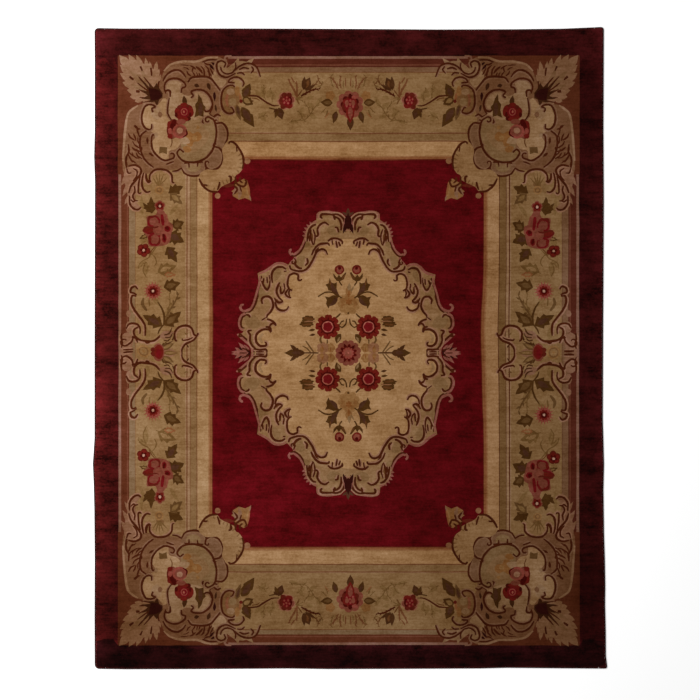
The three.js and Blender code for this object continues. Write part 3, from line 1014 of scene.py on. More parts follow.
SIDE_SPRAYS = [
    # places, width, shade, how many barbs, their size
    ([(88.6, 15), (86.4, 19.4), (83.6, 23.6), (81.4, 28.4)], 0.8, "leaf light", 7, 2.6),
    ([(87, 19.4), (85.6, 24), (86, 29)], 0.5, "ghost edge", 4, 1.8),
    ([(88.7, 13), (88.4, 17.4), (89.6, 21.4), (91.6, 24.6)], 0.95, "leaf olive", 0, 1),
    ([(88.9, 13.4), (90.6, 11.2), (91.5, 9)], 0.85, "leaf olive", 0, 1),
    ([(92.6, 51.4), (94.4, 49.2), (95.8, 46.4)], 0.55, "stem brown", 0, 1),
    ([(92.4, 38), (86, 39.6)], 0.5, "ghost edge", 3, 1.6),
    ([(86.4, 76.6), (83, 77.6)], 0.7, "leaf olive", 0, 1),
]
for places, width, shade, barbs, size in SIDE_SPRAYS:
    place(barbed(flowing(*places), width, shade, barbs, size))

# %% Spread the palmette's acanthus towards the field
PALMETTE_VEINS = [
    # width, places
    (0.8, [(88.4, 8.6), (86, 9.4), (84.6, 12.2)]), (0.7, [(88, 7.4), (85.4, 7.6), (84.4, 9.6)]),
    (0.7, [(88.6, 6.2), (86.6, 5.8), (85.4, 7)]), (0.8, [(84.4, 6), (83.6, 8.4)]),
    (0.6, [(89.2, 3.6), (86.8, 4.4), (84.4, 5.6)]),
]
place(leaves("volute rose", [((90.6, 7.6), (83.6, 10), 4), ((89.6, 0), (82, 0), 4.6)]))
PALMETTE_LEAVES = [
    # shade, from, to, width
    ("leaf light", (89.4, 1.8), (83.6, 4.6), 2.8), ("ghost", (88.8, 2.2), (84.8, 4.2), 1.4),
    ("ghost edge", (89, 0), (81.4, 0), 2.2), ("camel", (88.2, 0), (82.4, 0), 1),
]
place(shaded_leaves(PALMETTE_LEAVES))
short_curl = strokes("ghost edge", [(0.6, [(78.6, 9.6), (77.8, 9), (77, 9.4)])])
place(short_curl + strokes("leaf brown", [(0.7, [(76.6, 2.6), (77.6, 4)])], 0.5, 0.5))
place(strokes("leaf brown", PALMETTE_VEINS, 0.7, 0.3))

# %% Set the side borders' small flowers
place([("blossom pale", petals((90.4, 83.4), 4, 9, 0.1)), ("blossom tan", petals((90.6, 80.8), 2, 5, 0.2))])
SEPAL_TIPS = [(86.8, 84.2), (88.6, 86), (90.6, 86.8), (92.6, 86.4), (94.2, 84.6)]
place(leaves("ghost edge", [((91, 79.6), tip, 0.7) for tip in SEPAL_TIPS]))
BLOSSOM_RINGS = [("ochre light", 2.1, 14), ("blossom tan", 1.4, 12), ("ochre light", 0.7, 8)]
place([(shade, disc((90.8, 78), radius, sides)) for shade, radius, sides in BLOSSOM_RINGS])
EYE = 0.65


def starry(middle, radius, rays, ring):
    """A daisy: thin rays about a dark ring with a pale eye."""
    layers = [("dusty pink", petals(middle, 0.72 * radius, rays, 0.2))]
    for i in range(rays):
        angle = 2 * math.pi * i / rays
        tip = np.array(middle) + radius * np.array([math.cos(angle), math.sin(angle)])
        layers.append(("pink", leaf(middle, tip, 0.2 * radius)))
    layers.append(("rose red", petals(middle, ring + 0.6, 9, 0.25)))
    return layers + [("rose shadow", disc(middle, 0.8 * ring, 12)), ("flower eye", disc(middle, EYE, 8))]


place(starry((93.8, 29.6), 4.9, 17, 2.1))


def red_flower(middle, radius, turn, rim="rose rim"):
    """A flower of five broad petals, dark between them, with a small pale eye."""
    layers = [(rim, petals(middle, radius, 5, 0.22, turn))]
    layers.append(("rose red", petals(middle, 0.8 * radius, 5, 0.25, turn)))
    layers.append(("rose shadow", petals(middle, 0.55 * radius, 5, 0.5, turn + 36)))
    return layers + [("flower eye", disc(middle, EYE, 8))]


place(red_flower((98.4, 49.2), 3.4, 10) + red_flower((90.5, 70.4), 2.7, 54, "dusty pink"))

# %% [markdown]
# The large rose is seen from the side. Its petals are ovals laid over one another, each with
# a darker one a little larger beneath it, and the deepest folds are crimson.

# %% Open the large rose
ROSE_BODY = [
    (96.8, 65.4), (92.6, 66.2), (91.4, 68.8), (89.4, 68.6), (87.6, 66.6), (86.6, 63.4), (84.2, 61.4),
    (85, 57), (86.2, 52.6), (91, 51), (95.8, 51.4), (96.6, 55.4), (99, 58.8), (96.8, 61),
]
ROSE_PETALS = [
    # middle, half widths across and along, turn, rim, shade
    ((93.4, 62.9), (3.2, 2.9), 0, "rose heart", "dusty pink"),
    ((95.6, 58.8), (3.1, 1.9), 20, "rose rim", "rose red"),
    ((88.4, 63.6), (2, 3.2), 10, "bud pink", "dusty pink"),
    ((86.8, 59.4), (2.5, 2.4), 0, "bud pink", "rose heart"),
    ((93, 54.4), (3.1, 3.2), -15, "rose heart", "dusty pink"),
    ((88.4, 54.9), (2.1, 3), 10, "bud pink", "rose heart"),
    ((91.4, 59.2), (2.4, 2.8), 0, "dusty pink", "bud pink"),
]
ROSE_FOLDS = [
    # places, width, shade
    ([(89.6, 66.4), (89.2, 63.4), (88.8, 61)], 1.7, "rose heart"),
    ([(87.6, 60.4), (86.4, 59)], 1.6, "rose shadow"), ([(88.9, 57), (88.2, 53.8)], 1.3, "rose shadow"),
    ([(95.6, 60.4), (93, 60), (91, 60.6)], 0.8, "rose rim"),
    ([(98, 58.2), (96, 57.2), (93.2, 57.4)], 0.8, "rose heart"),
    ([(90.8, 55.4), (90.6, 53.2), (92.4, 51.8)], 0.8, "rose rim"),
    ([(95.2, 55.6), (95.2, 53.2)], 1.2, "rose red"),
    ([(91.4, 65.2), (95.6, 65.2), (96.4, 62.6)], 0.9, "rose rim"),
]
place(patches([("dusty pink", ROSE_BODY)]))
for middle, reach, turn, rim, shade in ROSE_PETALS:
    lobed = petals((0, 0), 1.08, 5, 0.14, turn)
    place([(rim, middle + lobed * reach), (shade, middle + lobed * (reach[0] - 1.0, reach[1] - 1.0))])
place([(shade, stroke(flowing(*places), width, 0.6, 0.4)) for places, width, shade in ROSE_FOLDS])
ROSETTE_RINGS = [("blossom tan", 2.5, 14), ("blossom pale", 1.8, 12), ("ochre light", 0.8, 8)]
SIDE_ROSETTE = (98.4, 0.2)
place([("ochre light", petals(SIDE_ROSETTE, 3.4, 8, 0.14))], "sides")
place([(shade, disc(SIDE_ROSETTE, radius, sides)) for shade, radius, sides in ROSETTE_RINGS], "sides")
place([("dusty pink", oval((91.2, 0.3), 2.9, 4.4))], "sides")
place([("rose rim", petals((92.4, 0.4), 2.9, 5, 0.3))], "sides")
place([("rose red", oval((91, 0.4), 2.2, 3.5)), ("rose heart", oval((91.2, -0.2), 1.1, 2.2))], "sides")

# %% [markdown]
# ## The end borders
#
# Across each end the garland opens both ways from a rose in the middle, over a fan of thin
# sprays.

# %% Shade the end borders' ground
END_GHOSTS = [
    # from, to, width
    ((40.2, 121.8), (41.6, 127.6), 2.6), ((41, 121.8), (45.2, 125.6), 2.4),
    ((38.6, 121.4), (37.4, 126.2), 2.4), ((35.6, 120.8), (37.2, 125.4), 2.8),
    ((39.4, 110.6), (43, 114.6), 2.6), ((43, 112.4), (38.6, 115.4), 1.8),
    ((24, 113.4), (21.2, 117.4), 2.2), ((20.6, 112.6), (24.8, 115.6), 2),
    ((16.4, 116.6), (19.6, 119.6), 2.4), ((15.6, 117.4), (12.4, 122.4), 2.2),
    ((18.4, 113.4), (14.6, 112), 2.2), ((27.6, 109.6), (23.4, 111.6), 2),
    ((20, 121.2), (16.4, 122.4), 1.8),
]
place(leaves("ghost", END_GHOSTS))
END_BLOSSOMS = [
    # middle, radius, petals, shade
    ((9.6, 125.2), 2.6, 5, "blossom pale"), ((5.4, 124.2), 2.2, 5, "blossom pale"),
    ((10.6, 129), 1.8, 5, "blossom pale"), ((8.6, 122.6), 2.4, 5, "ochre"),
]
place([(shade, petals(middle, radius, count, 0.2)) for middle, radius, count, shade in END_BLOSSOMS])

# %% Draw the end borders' stems and sprays
END_SPRAYS = [
    # places, width, shade, how many barbs, their size
    ([(22.6, 122.3), (19.8, 124), (16.8, 125.4), (13.4, 125.8)], 0.85, "outline", 9, 1.6),
    ([(17.8, 127.2), (15.4, 128.2), (14, 130.8)], 0.6, "stem brown", 4, 1.4),
    ([(14.6, 127), (13, 127.2), (12.2, 129.4)], 0.5, "ghost edge", 2, 1.2),
    ([(24.4, 121.4), (25.6, 124.6), (27.2, 127.4), (28.8, 130.6)], 0.9, "fan rust", 4, 1.5),
    ([(25.8, 128.8), (27.4, 131.4)], 0.8, "fan rust", 0, 1),
    ([(24.4, 121.8), (24.7, 129.4)], 0.9, "fan rust", 3, 1.6),
    ([(24.2, 122.2), (22, 125.4)], 0.7, "stem brown", 0, 1),
    ([(24.6, 121.4), (23.4, 118.4)], 0.8, "ghost edge", 0, 1),
    ([(26.6, 120.4), (24.4, 121.4), (21.8, 121.6)], 0.7, "ghost edge", 0, 1),
    ([(38, 116.8), (34.2, 116)], 0.7, "leaf olive", 0, 1),
    ([
        (50.2, 122.4), (46.4, 122.6), (43.4, 122.2), (41, 120.6), (38, 118.8), (35.8, 117.9),
        (33.2, 117.9),
    ], 0.8, "outline", 0, 1),
    ([(46.2, 121.6), (43.4, 121), (42.4, 120.2)], 0.6, "stem brown", 0, 1),
    ([(49.4, 121.6), (47, 120.2), (45.4, 120)], 0.7, "outline", 0, 1),
    ([(9.8, 115.8), (10.8, 112.6)], 0.7, "ghost edge", 2, 1.2),
    ([(10.4, 117), (13, 114.4)], 0.5, "ghost edge", 1, 1.2),
    ([(3.4, 126), (4, 129), (3.4, 132)], 0.65, "fan rust", 3, 1.6),
    ([(4.6, 125.6), (6, 128.6), (8.6, 131.6)], 0.65, "fan rust", 5, 1.6),
    ([(1.2, 127), (1.3, 131)], 0.7, "fan rust", 0, 1),
    ([(2.2, 126.4), (2.4, 129.6)], 0.5, "ghost edge", 2, 1),
    ([
        (28.4, 110), (25.2, 111), (21.2, 111.2), (18.2, 113.8), (16.2, 117), (12.6, 120.6),
    ], 0.45, "ghost edge", 9, 1.9),
    ([(21.4, 111.2), (22.6, 113.6), (24.2, 115.8)], 0.4, "ghost edge", 3, 1.5),
    ([(18.2, 113.8), (19.2, 117), (21.2, 119.4)], 0.4, "ghost edge", 4, 1.5),
    ([(24.8, 121), (23.6, 118.6)], 0.55, "stem brown", 0, 1),
    ([(25, 121.2), (21.6, 120.2)], 0.45, "ghost edge", 2, 1.2),
    ([(39.6, 120.6), (40.6, 124.2), (40.2, 127.4)], 0.35, "ghost edge", 5, 1.6),
    ([(36.2, 119.6), (36.2, 123), (37.6, 126)], 0.35, "ghost edge", 4, 1.5),
    ([(43.4, 111.6), (41, 113.2), (38.8, 113.4)], 0.35, "ghost edge", 4, 1.5),
    ([(9, 114.8), (11.2, 112)], 0.5, "ochre brown", 0, 1),
    ([(7, 126.6), (8.2, 129.6), (8, 132.4)], 0.4, "ghost edge", 4, 1.4),
    ([(12.4, 127.6), (14.4, 130), (14.6, 132.2)], 0.45, "stem brown", 3, 1.2),
]
for places, width, shade, barbs, size in END_SPRAYS:
    place(barbed(flowing(*places), width, shade, barbs, size))

# %% Grow the end borders' leaves
END_LEAVES = [
    # base, tip, width, lobes, edge, heart
    ((7.4, 119.2), (13.4, 119.6), 3.6, 0, "leaf olive", "leaf light"),
    ((5.6, 115.4), (7.2, 109.6), 2.8, 0, "leaf olive", "mauve brown"),
    ((20.9, 125.6), (18.4, 131.2), 4.4, 2, "leaf brown", "stem brown"),
    ((21.2, 125.2), (21, 131.8), 2.6, 0, "leaf brown", None),
    ((20.8, 125), (15.6, 127.8), 1.8, 0, "leaf brown", None),
    ((33.4, 117), (31.6, 111.4), 3.8, 2, "leaf brown", "mauve brown"),
    ((33.6, 116.4), (35.2, 112), 2, 0, "leaf olive", None),
    ((34, 116.6), (30.6, 114.4), 2, 0, "leaf brown", None),
    ((34, 116.6), (35.8, 114.6), 1.6, 0, "leaf brown", None),
    ((50.2, 121.6), (47, 128.4), 4.8, 3, "leaf olive", "mauve brown"),
    ((50.6, 121.4), (45.6, 118.4), 4.6, 2, "leaf olive", "ghost"),
    ((51.2, 117.2), (45, 107.8), 5.4, 2, "leaf olive", "mauve brown"),
    ((53.6, 118.6), (51.6, 110.8), 3, 2, "leaf light", "mauve brown"),
]
for base, tip, width, lobes, edge, heart in END_LEAVES:
    base, tip = np.array(base), np.array(tip)
    place([(edge, leaf(base, tip, width, 0, lobes, 0.3))])
    if heart:
        place([(heart, leaf(base + 0.1 * (tip - base), base + 0.75 * (tip - base), 0.5 * width))])

# %% Open the end borders' roses
def speckled(middle, radius, dots):
    """Small pink dots in a circle, and one in the middle."""
    places = [middle]
    for angle in np.linspace(0.4, 6.7, dots, endpoint=False):
        ray = np.array([math.cos(angle), math.sin(angle)])
        places.append(np.array(middle) + 0.62 * radius * ray)
    return [("pink", oval(dot, 0.2 * radius, 0.24 * radius)) for dot in places]


SMALL_ROSE = [
    # shade, middle, half widths across and along, turn
    ("rose rim", (30.6, 122.7), (1.4, 1.4), 0), ("rose rim", (28.3, 122.6), (1.2, 1.5), 0),
    ("rose rim", (32.1, 120), (1, 2), 0), ("rose rim", (31.2, 117.6), (1.3, 1.4), 30),
    ("rose red", (28.4, 118), (1.8, 1.4), 0), ("rose shadow", (27.9, 120.2), (1.1, 2), 0),
    ("rose heart", (29.6, 120.2), (1.9, 2.4), 0),
]
place([("bud pale", petals((29.7, 120.3), 4.5, 6, 0.2, 20))])
place([("dusty pink", petals((29.7, 120.3), 3.9, 6, 0.18, 20))])
place(ovals(SMALL_ROSE))
place(speckled((29.6, 120.4), 2.4, 5))
END_ROSE = (0.9, 118.5)
END_ROSE_CROWNS = [
    # shade, radius, petals, notch, turn
    ("bud pink", 6.6, 9, 0.16, 0), ("dusty pink", 5.5, 9, 0.16, 20), ("rose shadow", 4.6, 7, 0.25, 0),
    ("rose red", 3.9, 7, 0.2, 20),
]
END_ROSE_FOLDS = [
    # shade, middle, half widths across and along, turn
    ("pink", (3.2, 122), (1.5, 1), 0), ("rose shadow", (0.9, 122.2), (0.9, 1.5), 0),
    ("rose rim", (4, 117.4), (0.9, 1.9), 0), ("rose rim", (-2.1, 117.4), (0.9, 1.9), 0),
]
END_ROSE_TONGUE = [
    # shade, from, to, width
    ("leaf brown", (1, 113), (1.1, 106.4), 3.4), ("rose red", (0.9, 117.6), (1, 109.8), 4),
    ("dusty pink", (1, 117.6), (1.1, 111.2), 2.4),
]
place([(shade, petals(END_ROSE, *crown)) for shade, *crown in END_ROSE_CROWNS], "ends")
place(ovals(END_ROSE_FOLDS) + [("rose heart", disc(END_ROSE, 2.9, 14))], "ends")
place(speckled(END_ROSE, 2.8, 6), "ends")
place(shaded_leaves(END_ROSE_TONGUE), "ends")
place([("pink", disc((0.4, 114.6), 0.45, 6)), ("pink", disc((1.6, 113.6), 0.45, 6))], "ends")
place([("bud pink", oval((x, 119.2), 1, 1.4)) for x in (-0.6, 2.4)], "ends")
print(len(cartoon), "layers so far")
# %% [markdown]
# ## The medallion's frame
#
# The medallion is a frame of leafy scrolls round a cream ground. Its outer edge is a chain of
# curved stretches that meet in points, and each stretch is edged first with a dusty rose
# line and, inside that, with a dark brown one. The stretches are set down once, and both
# edgings and the filling are worked out from them.

# %% Set out the medallion's outer edge
RIM_EDGE = [
    # the places each stretch runs through, from the head to the side, and how far its
    # dark line keeps from it, or None where the inner scrolls have their own
    ([
        (0, 60), (1.3, 61.5), (1, 64.2), (2.2, 66.9), (4.8, 68.2), (8, 68.9), (12.4, 69), (14.9, 67.7),
        (15.3, 65.4),
    ], 1.5),
    ([(15.3, 64.5), (17, 63.6), (18.8, 61.8), (20.2, 59.6), (20.9, 57)], None),
    ([(21.2, 56.6), (22.4, 53.6), (24.2, 51), (26.2, 49.6), (27.4, 49.9)], 1.3),
    ([(26.6, 48.2), (26.3, 47), (27.6, 46), (28.8, 44.3)], None),
    ([(29.2, 43.8), (31.4, 44.8), (34, 45), (36.6, 43.8), (39.6, 41.2), (43.6, 38.9)], None),
    ([
        (43.4, 37.6), (43.2, 34.4), (44.2, 30.4), (45.2, 26.8), (46.3, 23.4), (48.2, 21), (50.2, 20.6),
    ], 1.4),
    ([(49.4, 19.6), (51.9, 18.4), (53.2, 15.8), (53.2, 12.8), (52.2, 10.9), (50.6, 10.4)], 1.45),
    ([(51.2, 9.4), (53.8, 8.9), (52, 7), (49.8, 5.2), (47.6, 3.2), (46.8, 1.6), (46.6, 0)], 1.4),
]
RIM_WIDTH = 1.1
LINE_WIDTH = 1

edge_stretches = [flowing(*places) for places, _ in RIM_EDGE]
quarter_edge = np.vstack(edge_stretches)


def round_about(quarter):
    """A closed line from a quarter of it that runs from the head to the side."""
    right = np.vstack([quarter, quarter[::-1] * (1, -1)])
    return np.vstack([right, right[::-1] * (-1, 1)])


place([("scroll camel", round_about(quarter_edge))], "once")
for line in edge_stretches:
    place([("rim rose", stroke(beside(line, -RIM_WIDTH / 2), RIM_WIDTH, 0.4, 0.5))])
RIM_CURLS = [
    # places, and the curl at the last: size, turn
    ([(24, 50.6), (26, 49.2)], (3.6, 215)), ([(46.6, 21.4), (49.4, 20.2)], (4.2, 225)),
]
for places, last in RIM_CURLS:
    place([("rim rose", stroke(scroll(*places, last=last), 1.2, 1, 0.7))])
RIM_TEETH = [
    # from, to, width
    ((17, 61.8), (18.6, 63.7), 1.3), ((18.2, 60.8), (20.2, 62.5), 1.3), ((19, 59.6), (21.3, 61), 1.3),
    ((19.6, 58.3), (22, 59.3), 1.3), ((19.8, 57), (22.2, 57.5), 1.3),
]
place(leaves("rim rose", RIM_TEETH))
print("the medallion is", 2 * quarter_edge.max(axis=0).round(), "cm")

# %% [markdown]
# ## The cream ground
#
# Inside the frame lies the cream ground, whose edge follows the inner scrolls. The frame's
# own colour is a little darker and greener than the ground, so the scrolls seem to stand up
# from it.

# %% Lay the cream ground
GROUND_EDGE = [
    (0, 55.6), (3.4, 55.4), (8.2, 55.2), (9.6, 53.6), (13.2, 52.6), (15, 50.8), (17.2, 45.6), (20.2, 41),
    (24.2, 40.6), (27.8, 39.4), (29.2, 36.6), (28.8, 31.4), (28.2, 27.2), (31, 28.6), (34.8, 24.4),
    (36.2, 24.6), (36.7, 21.4), (39.4, 18.2), (37, 15.6), (36.6, 12.4), (40.4, 11.4), (44, 9.4),
    (44.6, 6), (42.2, 3.2), (39.2, 2.2), (38.8, 0),
]
place([("cream", round_about(flowing(*GROUND_EDGE)))], "once")
for line, (_, dark_gap) in zip(edge_stretches, RIM_EDGE):
    if dark_gap:
        place([("outline", stroke(beside(line, -dark_gap), LINE_WIDTH, 0.5, 0.5))])

# %% [markdown]
# ## Leafy scrolls
#
# A rococo scroll is one springy line: a long easy curve that winds up in a curl at one end
# or both. Each one is written here as the few places its long part goes through and the
# curl it ends in, so that the hand that drew it shows in very few numbers.

# %% Draw the frame's scrolls
FRAME_SCROLLS = [
    # width, the places gone through, and the curl at the first or last one: size, turn
    (0.8, [(3.4, 59.6), (3.3, 62.6), (4.4, 65.2), (6.6, 66.4)]), (0.9, [(6.9, 66.8), (6.3, 64.7)]),
    (0.75, [(2.2, 59.2), (1.3, 62), (2, 65), (4.6, 67.3), (8.4, 67.4)]),
    (0.85, [(8.2, 67.4), (12, 67.4)], {"last": (2.6, -190)}),
    (0.75, [(6.4, 61.2), (5.2, 61), (4.6, 58.8)]),
    (0.8, [
        (16.4, 57.4), (15.4, 56.8), (14.6, 57.4), (14.8, 60.2), (13.4, 62.5), (11.2, 63.4), (9.2, 62.2),
    ]),
    (0.7, [(17.9, 60), (18.2, 56.8), (16.9, 52.7)]), (0.6, [(16.9, 60.2), (15.9, 57.2), (16.6, 53)]),
    (0.6, [(19, 57.4), (18.6, 54.6)]),
    (0.8, [(15.4, 62.4), (17, 61.9), (18.8, 59.6), (19.6, 56.6), (19.9, 54.6)]),
    (0.8, [(17.8, 48), (16.6, 50.6), (14.2, 52.9), (10.4, 53.4)], {"last": (2.6, 130)}),
    (0.5, [(14.2, 51.4), (15.6, 50.2), (16, 48.4)]),
    (0.8, [(9.8, 54.4), (8, 55.7), (5.4, 55.7), (3.4, 54.8)], {"last": (2.6, 130)}),
    (0.85, [
        (28.6, 43.6), (28, 41.8), (25.6, 40.7), (22, 40.4), (20, 41.4), (17.4, 45), (15.2, 49.4),
        (13, 50.6), (11, 50), (9.9, 47.8),
    ]),
    (0.9, [(26.2, 45.6), (25.4, 43.4), (23.6, 41.9), (22.4, 41.7)]),
    (0.8, [(20, 46.8), (19.7, 44.4), (21, 43)]),
    (0.65, [(26.2, 47.2), (25.6, 45.8)], {"last": (2.3, 290)}),
    (0.85, [(30.2, 41.6), (32, 42.6), (34.8, 42.3), (36.6, 40.4), (37.1, 38), (36.6, 34.4)]),
    (0.6, [(30, 40.6), (31.4, 40.4)]),
    (0.8, [
        (24.4, 36.6), (24.4, 38.4), (26.2, 39.4), (28.4, 38.5), (29.3, 36), (29.2, 32.8), (28.4, 31.2),
        (27, 30.5),
    ], {"first": (2.2, -200)}),
    (0.8, [(29, 31.2), (30.3, 29), (29.2, 27.4), (27.4, 26.9)]),
    (0.6, [(28.2, 31.2), (28.7, 29.2), (28, 27.4)]), (0.6, [(31.2, 34.4), (30.6, 31.2)]),
    (0.6, [(7.8, 55.2), (7.3, 52.6)]), (0.7, [(5.8, 54.6), (5.2, 51)]), (0.7, [(4.6, 54.2), (3.7, 51.8)]),
    (0.75, [(41.8, 35.2), (40.2, 31.8), (39.1, 30.8), (38.2, 32.4), (37.9, 35.6)]),
    (0.6, [(39.3, 37.4), (39, 34)]), (0.5, [(38.3, 38.4), (37.8, 35.4)]),
    (0.7, [(40.8, 36.6), (41.2, 33.6)]),
    (0.8, [(33.2, 34.8), (34.4, 32), (34.5, 29.4), (33.4, 27), (31.5, 25.2)]),
    (0.7, [(32.8, 32.6), (32.4, 29), (31.2, 30), (30.9, 31.4)]),
    (0.8, [(35.6, 26.8), (34.4, 24.8), (32.8, 24.4), (31.3, 25.2)]),
    (0.8, [(35.2, 24.6), (34.4, 22), (32.8, 20.7), (31, 20.4), (29.4, 21.2), (28.7, 22.6)]),
    (0.85, [
        (41.4, 23.6), (41.8, 25.6), (40.4, 27.3), (37.8, 27.2), (36.4, 25), (36.2, 21.9), (37.4, 19.7),
        (39, 18.1), (39.4, 16.8),
    ]),
    (0.5, [(41.8, 15.7), (39.7, 17)]), (0.8, [(39.2, 16.2), (37.4, 15.8), (35.6, 14.6), (34.6, 13)]),
    (0.7, [(34.7, 13.2), (36, 14.2), (37.3, 13.7), (38, 12.3)]),
    (0.8, [(39.8, 12.6), (37.6, 12), (37, 9.9)]),
    (0.9, [
        (37, 9.9), (38.2, 11.1), (41.4, 11.1), (44.2, 8.9), (44.3, 5.4), (42.4, 3.4), (40.4, 3.3),
    ], {"last": (2.2, -200)}),
    (0.75, [(47.4, 17), (48.2, 18.1), (49.6, 18.4)]),
    (0.8, [(46.6, 10.9), (48.4, 10.4), (47.4, 8.6), (47.4, 5.8), (46.2, 3.4), (44.4, 1.8)]),
    (0.75, [(45.6, 1.9), (42.6, 1.5), (39.4, 1.6), (39, 0)]), (0.6, [(44.4, 0.5), (40.4, 0.6)]),
]
HOLLOWS = [
    # darker places between the scrolls
    [(50.2, 17), (47, 18.6), (43.6, 16.6), (42.4, 13), (45.6, 11.6), (49, 12.8)],
    [(41.4, 34), (43.2, 28), (42, 24.4), (39, 27.6), (38, 32)],
    [(25.8, 45.2), (23, 42.6), (20.6, 43.8), (21, 47.8), (24, 48.2)],
    [(3.6, 58.4), (8, 57.2), (10.4, 60), (7, 62.4), (4, 61.6)],
    [(33.6, 42), (35.8, 40.2), (36, 35.4), (32.6, 38)], [(46.4, 9.4), (47.2, 6.8), (45.2, 3), (45, 7)],
    [(18.2, 60), (19.4, 56.8), (21.2, 52), (18.4, 52.6), (17.2, 56)],
]
place(patches([("scroll dark", places) for places in HOLLOWS]))
LIGHTS = [
    # paler places on them: width, places
    (1.8, [(11.6, 65.6), (7.8, 65.8), (5.4, 63.2)]), (1.2, [(33, 30.4), (33.4, 27.6)]),
    (1.5, [(41, 9.4), (42.6, 7.2), (41.4, 4.8)]), (1.6, [(31, 39), (33.6, 36.4)]),
    (1.3, [(14.6, 54.8), (18.4, 49.4), (21.6, 43)]), (1.8, [(11.8, 61), (13.4, 58.4)]),
]
place(strokes("scroll light", LIGHTS, 0.5, 0.5))
LEAF_SHADES = [
    # from, to, width: the dark sides of the scrolls' leaves
    ((33.6, 33.6), (32.2, 28.2), 1.7), ((34.8, 26), (32, 24.9), 1.3), ((29.4, 31), (28.4, 27.6), 1.5),
    ((37, 15.2), (35.2, 13.6), 1), ((41.2, 34.6), (41, 31.8), 1.2), ((18, 58.8), (17, 54.6), 1.3),
    ((47.9, 9.8), (48.2, 6.6), 1),
]
place(leaves("stem brown", LEAF_SHADES))
place(drawn(FRAME_SCROLLS))
print(len(FRAME_SCROLLS), "scrolls in a quarter of the frame")

# %% [markdown]
# ## The bouquet in the medallion
#
# Four roses stand about a rosette, with a blown ochre flower, two leaves and two buds
# above and below, and a leafy spray to each side.

# %% Draw the blown flower and the buds
BLOWN_FLOWER = [
    # shade, how far along, radius, petals, notch, turn
    ("ochre light", 23.4, 5.3, 9, 0.16, 0), ("ochre", 23.8, 4.2, 7, 0.2, 25),
    ("ochre light", 22, 3, 5, 0.3, 10), ("ochre deep", 24.6, 1.7, 6, 0.4, 0),
]
BLOWN_TIP = [
    # shade, from, to, width
    ("ochre", (0.3, 27), (0.2, 33), 3.2), ("shell olive", (0.4, 29.6), (0.6, 33.8), 1.8),
    ("ochre deep", (0.2, 26.6), (0.4, 30.6), 1.2), ("shell olive", (1.2, 29.4), (3, 32.4), 1),
]
place([(shade, petals((0.3, along), *crown)) for shade, along, *crown in BLOWN_FLOWER], "ends")
place(shaded_leaves(BLOWN_TIP), "ends")
place([("leaf olive", disc((0.1, 19.1), 0.55, 8))], "ends")
BUD_LEAVES = [
    (7.2, 38.6), (7, 36.6), (5.6, 34.9), (4, 34.4), (2.2, 35.6), (0.8, 38.8), (1.5, 39), (2.6, 37.6),
    (3.4, 36.4), (4.4, 38), (5.4, 36.5), (6.3, 37.6),
]
place([("leaf olive", BUD_LEAVES), ("stem brown", leaf((3, 35.4), (1.4, 38.2), 0.9))])
place([("rose rim", disc((4.2, 40.3), 2.4, 16)), ("rose red", disc((4.2, 40.1), 2, 14))])
place([("bud pink", petals((4.1, 40.2), 1.6, 5, 0.2)), ("rose shadow", oval((4.1, 41.1), 0.8, 0.9))])
place(twig((4.4, 35.2), (4, 34), (3, 32.4), width=0.7))

# %% Draw the leaves beside the blown flower
UPPER_LEAF = [
    (3.3, 26.2), (5, 28.8), (5.6, 31.2), (5.4, 34.2), (6.6, 33.6), (8, 34), (8.9, 36.4), (9.4, 33.6),
    (10.9, 33), (9.9, 31.4), (9.6, 30.2), (8, 29.8), (7, 28.4),
]
LOWER_LEAF = [
    (3.8, 27.4), (7.2, 27.8), (9.2, 26.8), (11.2, 27.2), (10.2, 25.4), (10.6, 23.6), (9.4, 21.2),
    (8.6, 23.2), (7.6, 22.8), (7.2, 24.6), (6, 24), (5.6, 25.8),
]
place([("leaf olive", UPPER_LEAF), ("mauve brown", leaf((4.2, 27.2), (8.2, 34.4), 2.3, bend=-0.1))])
place([("stem brown", leaf((8.4, 32.6), (8.7, 35.4), 0.9))])
place([("leaf olive", LOWER_LEAF), ("mauve brown", leaf((5.2, 27), (9.3, 22.4), 2, bend=-0.1))])
place(twig((3, 26.4), (5.4, 28), (8, 29.2), (11, 29.2), (14.5, 27.2), width=0.75))

# %% Draw the roses
place([("ochre", petals((8.5, 2.4), 2.3, 5, 0.15)), ("ochre light", oval((8.5, 2.6), 1, 1.6))])
place([("ochre deep", leaf((8.4, 0.4), (8.4, 3), 0.7))])
place([("tan petal", petals((12.2, 2.4), 2.9, 6, 0.15)), ("ochre", oval((12.6, 1.4), 1, 1.3))])
place([("ochre deep", leaf((11.6, 1.2), (12.9, 4), 0.7))])
place(twig((13, 8), (13.4, 6.2), (12.6, 4.6), shade="leaf light", width=0.9))
place(twig((10, 6.4), (10, 4.4), width=0.7))
place(rose((9.8, 12.5), 6, 8, 4))
place(twig((6, 16.8), (4.6, 17.9), (3.7, 18.9), width=0.75))
place(twig((4.6, 13), (2.8, 12.3), (1.2, 13.8), (0.7, 16.4), width=0.7))
place(twig((4.2, 13.4), (3.2, 15), (1.9, 15.4), width=0.7))
place([("leaf olive", petals((19.2, 16.2), 3.3, 7, 0.22, squash=0.55))])
place([("leaf olive", petals((19.9, 13.9), 3.6, 7, 0.22, 15, squash=0.45))])
place(strokes("tan petal", [(0.6, [(15.8, 15), (18.8, 15.2), (21, 15)])], 1, 0.3))
LEAF_FOLDS = [(1.2, [(16.6, 16.2), (21.2, 16.8)]), (1, [(17.6, 13.8), (21.8, 13.4)])]
place(strokes("stem brown", LEAF_FOLDS, 0.5, 0.5))
place([("leaf olive", leaf((15.8, 11.2), (19.2, 10.8), 1.3))])
place([("leaf brown", leaf((15.8, 8.9), (18.8, 8.4), 1.2))])
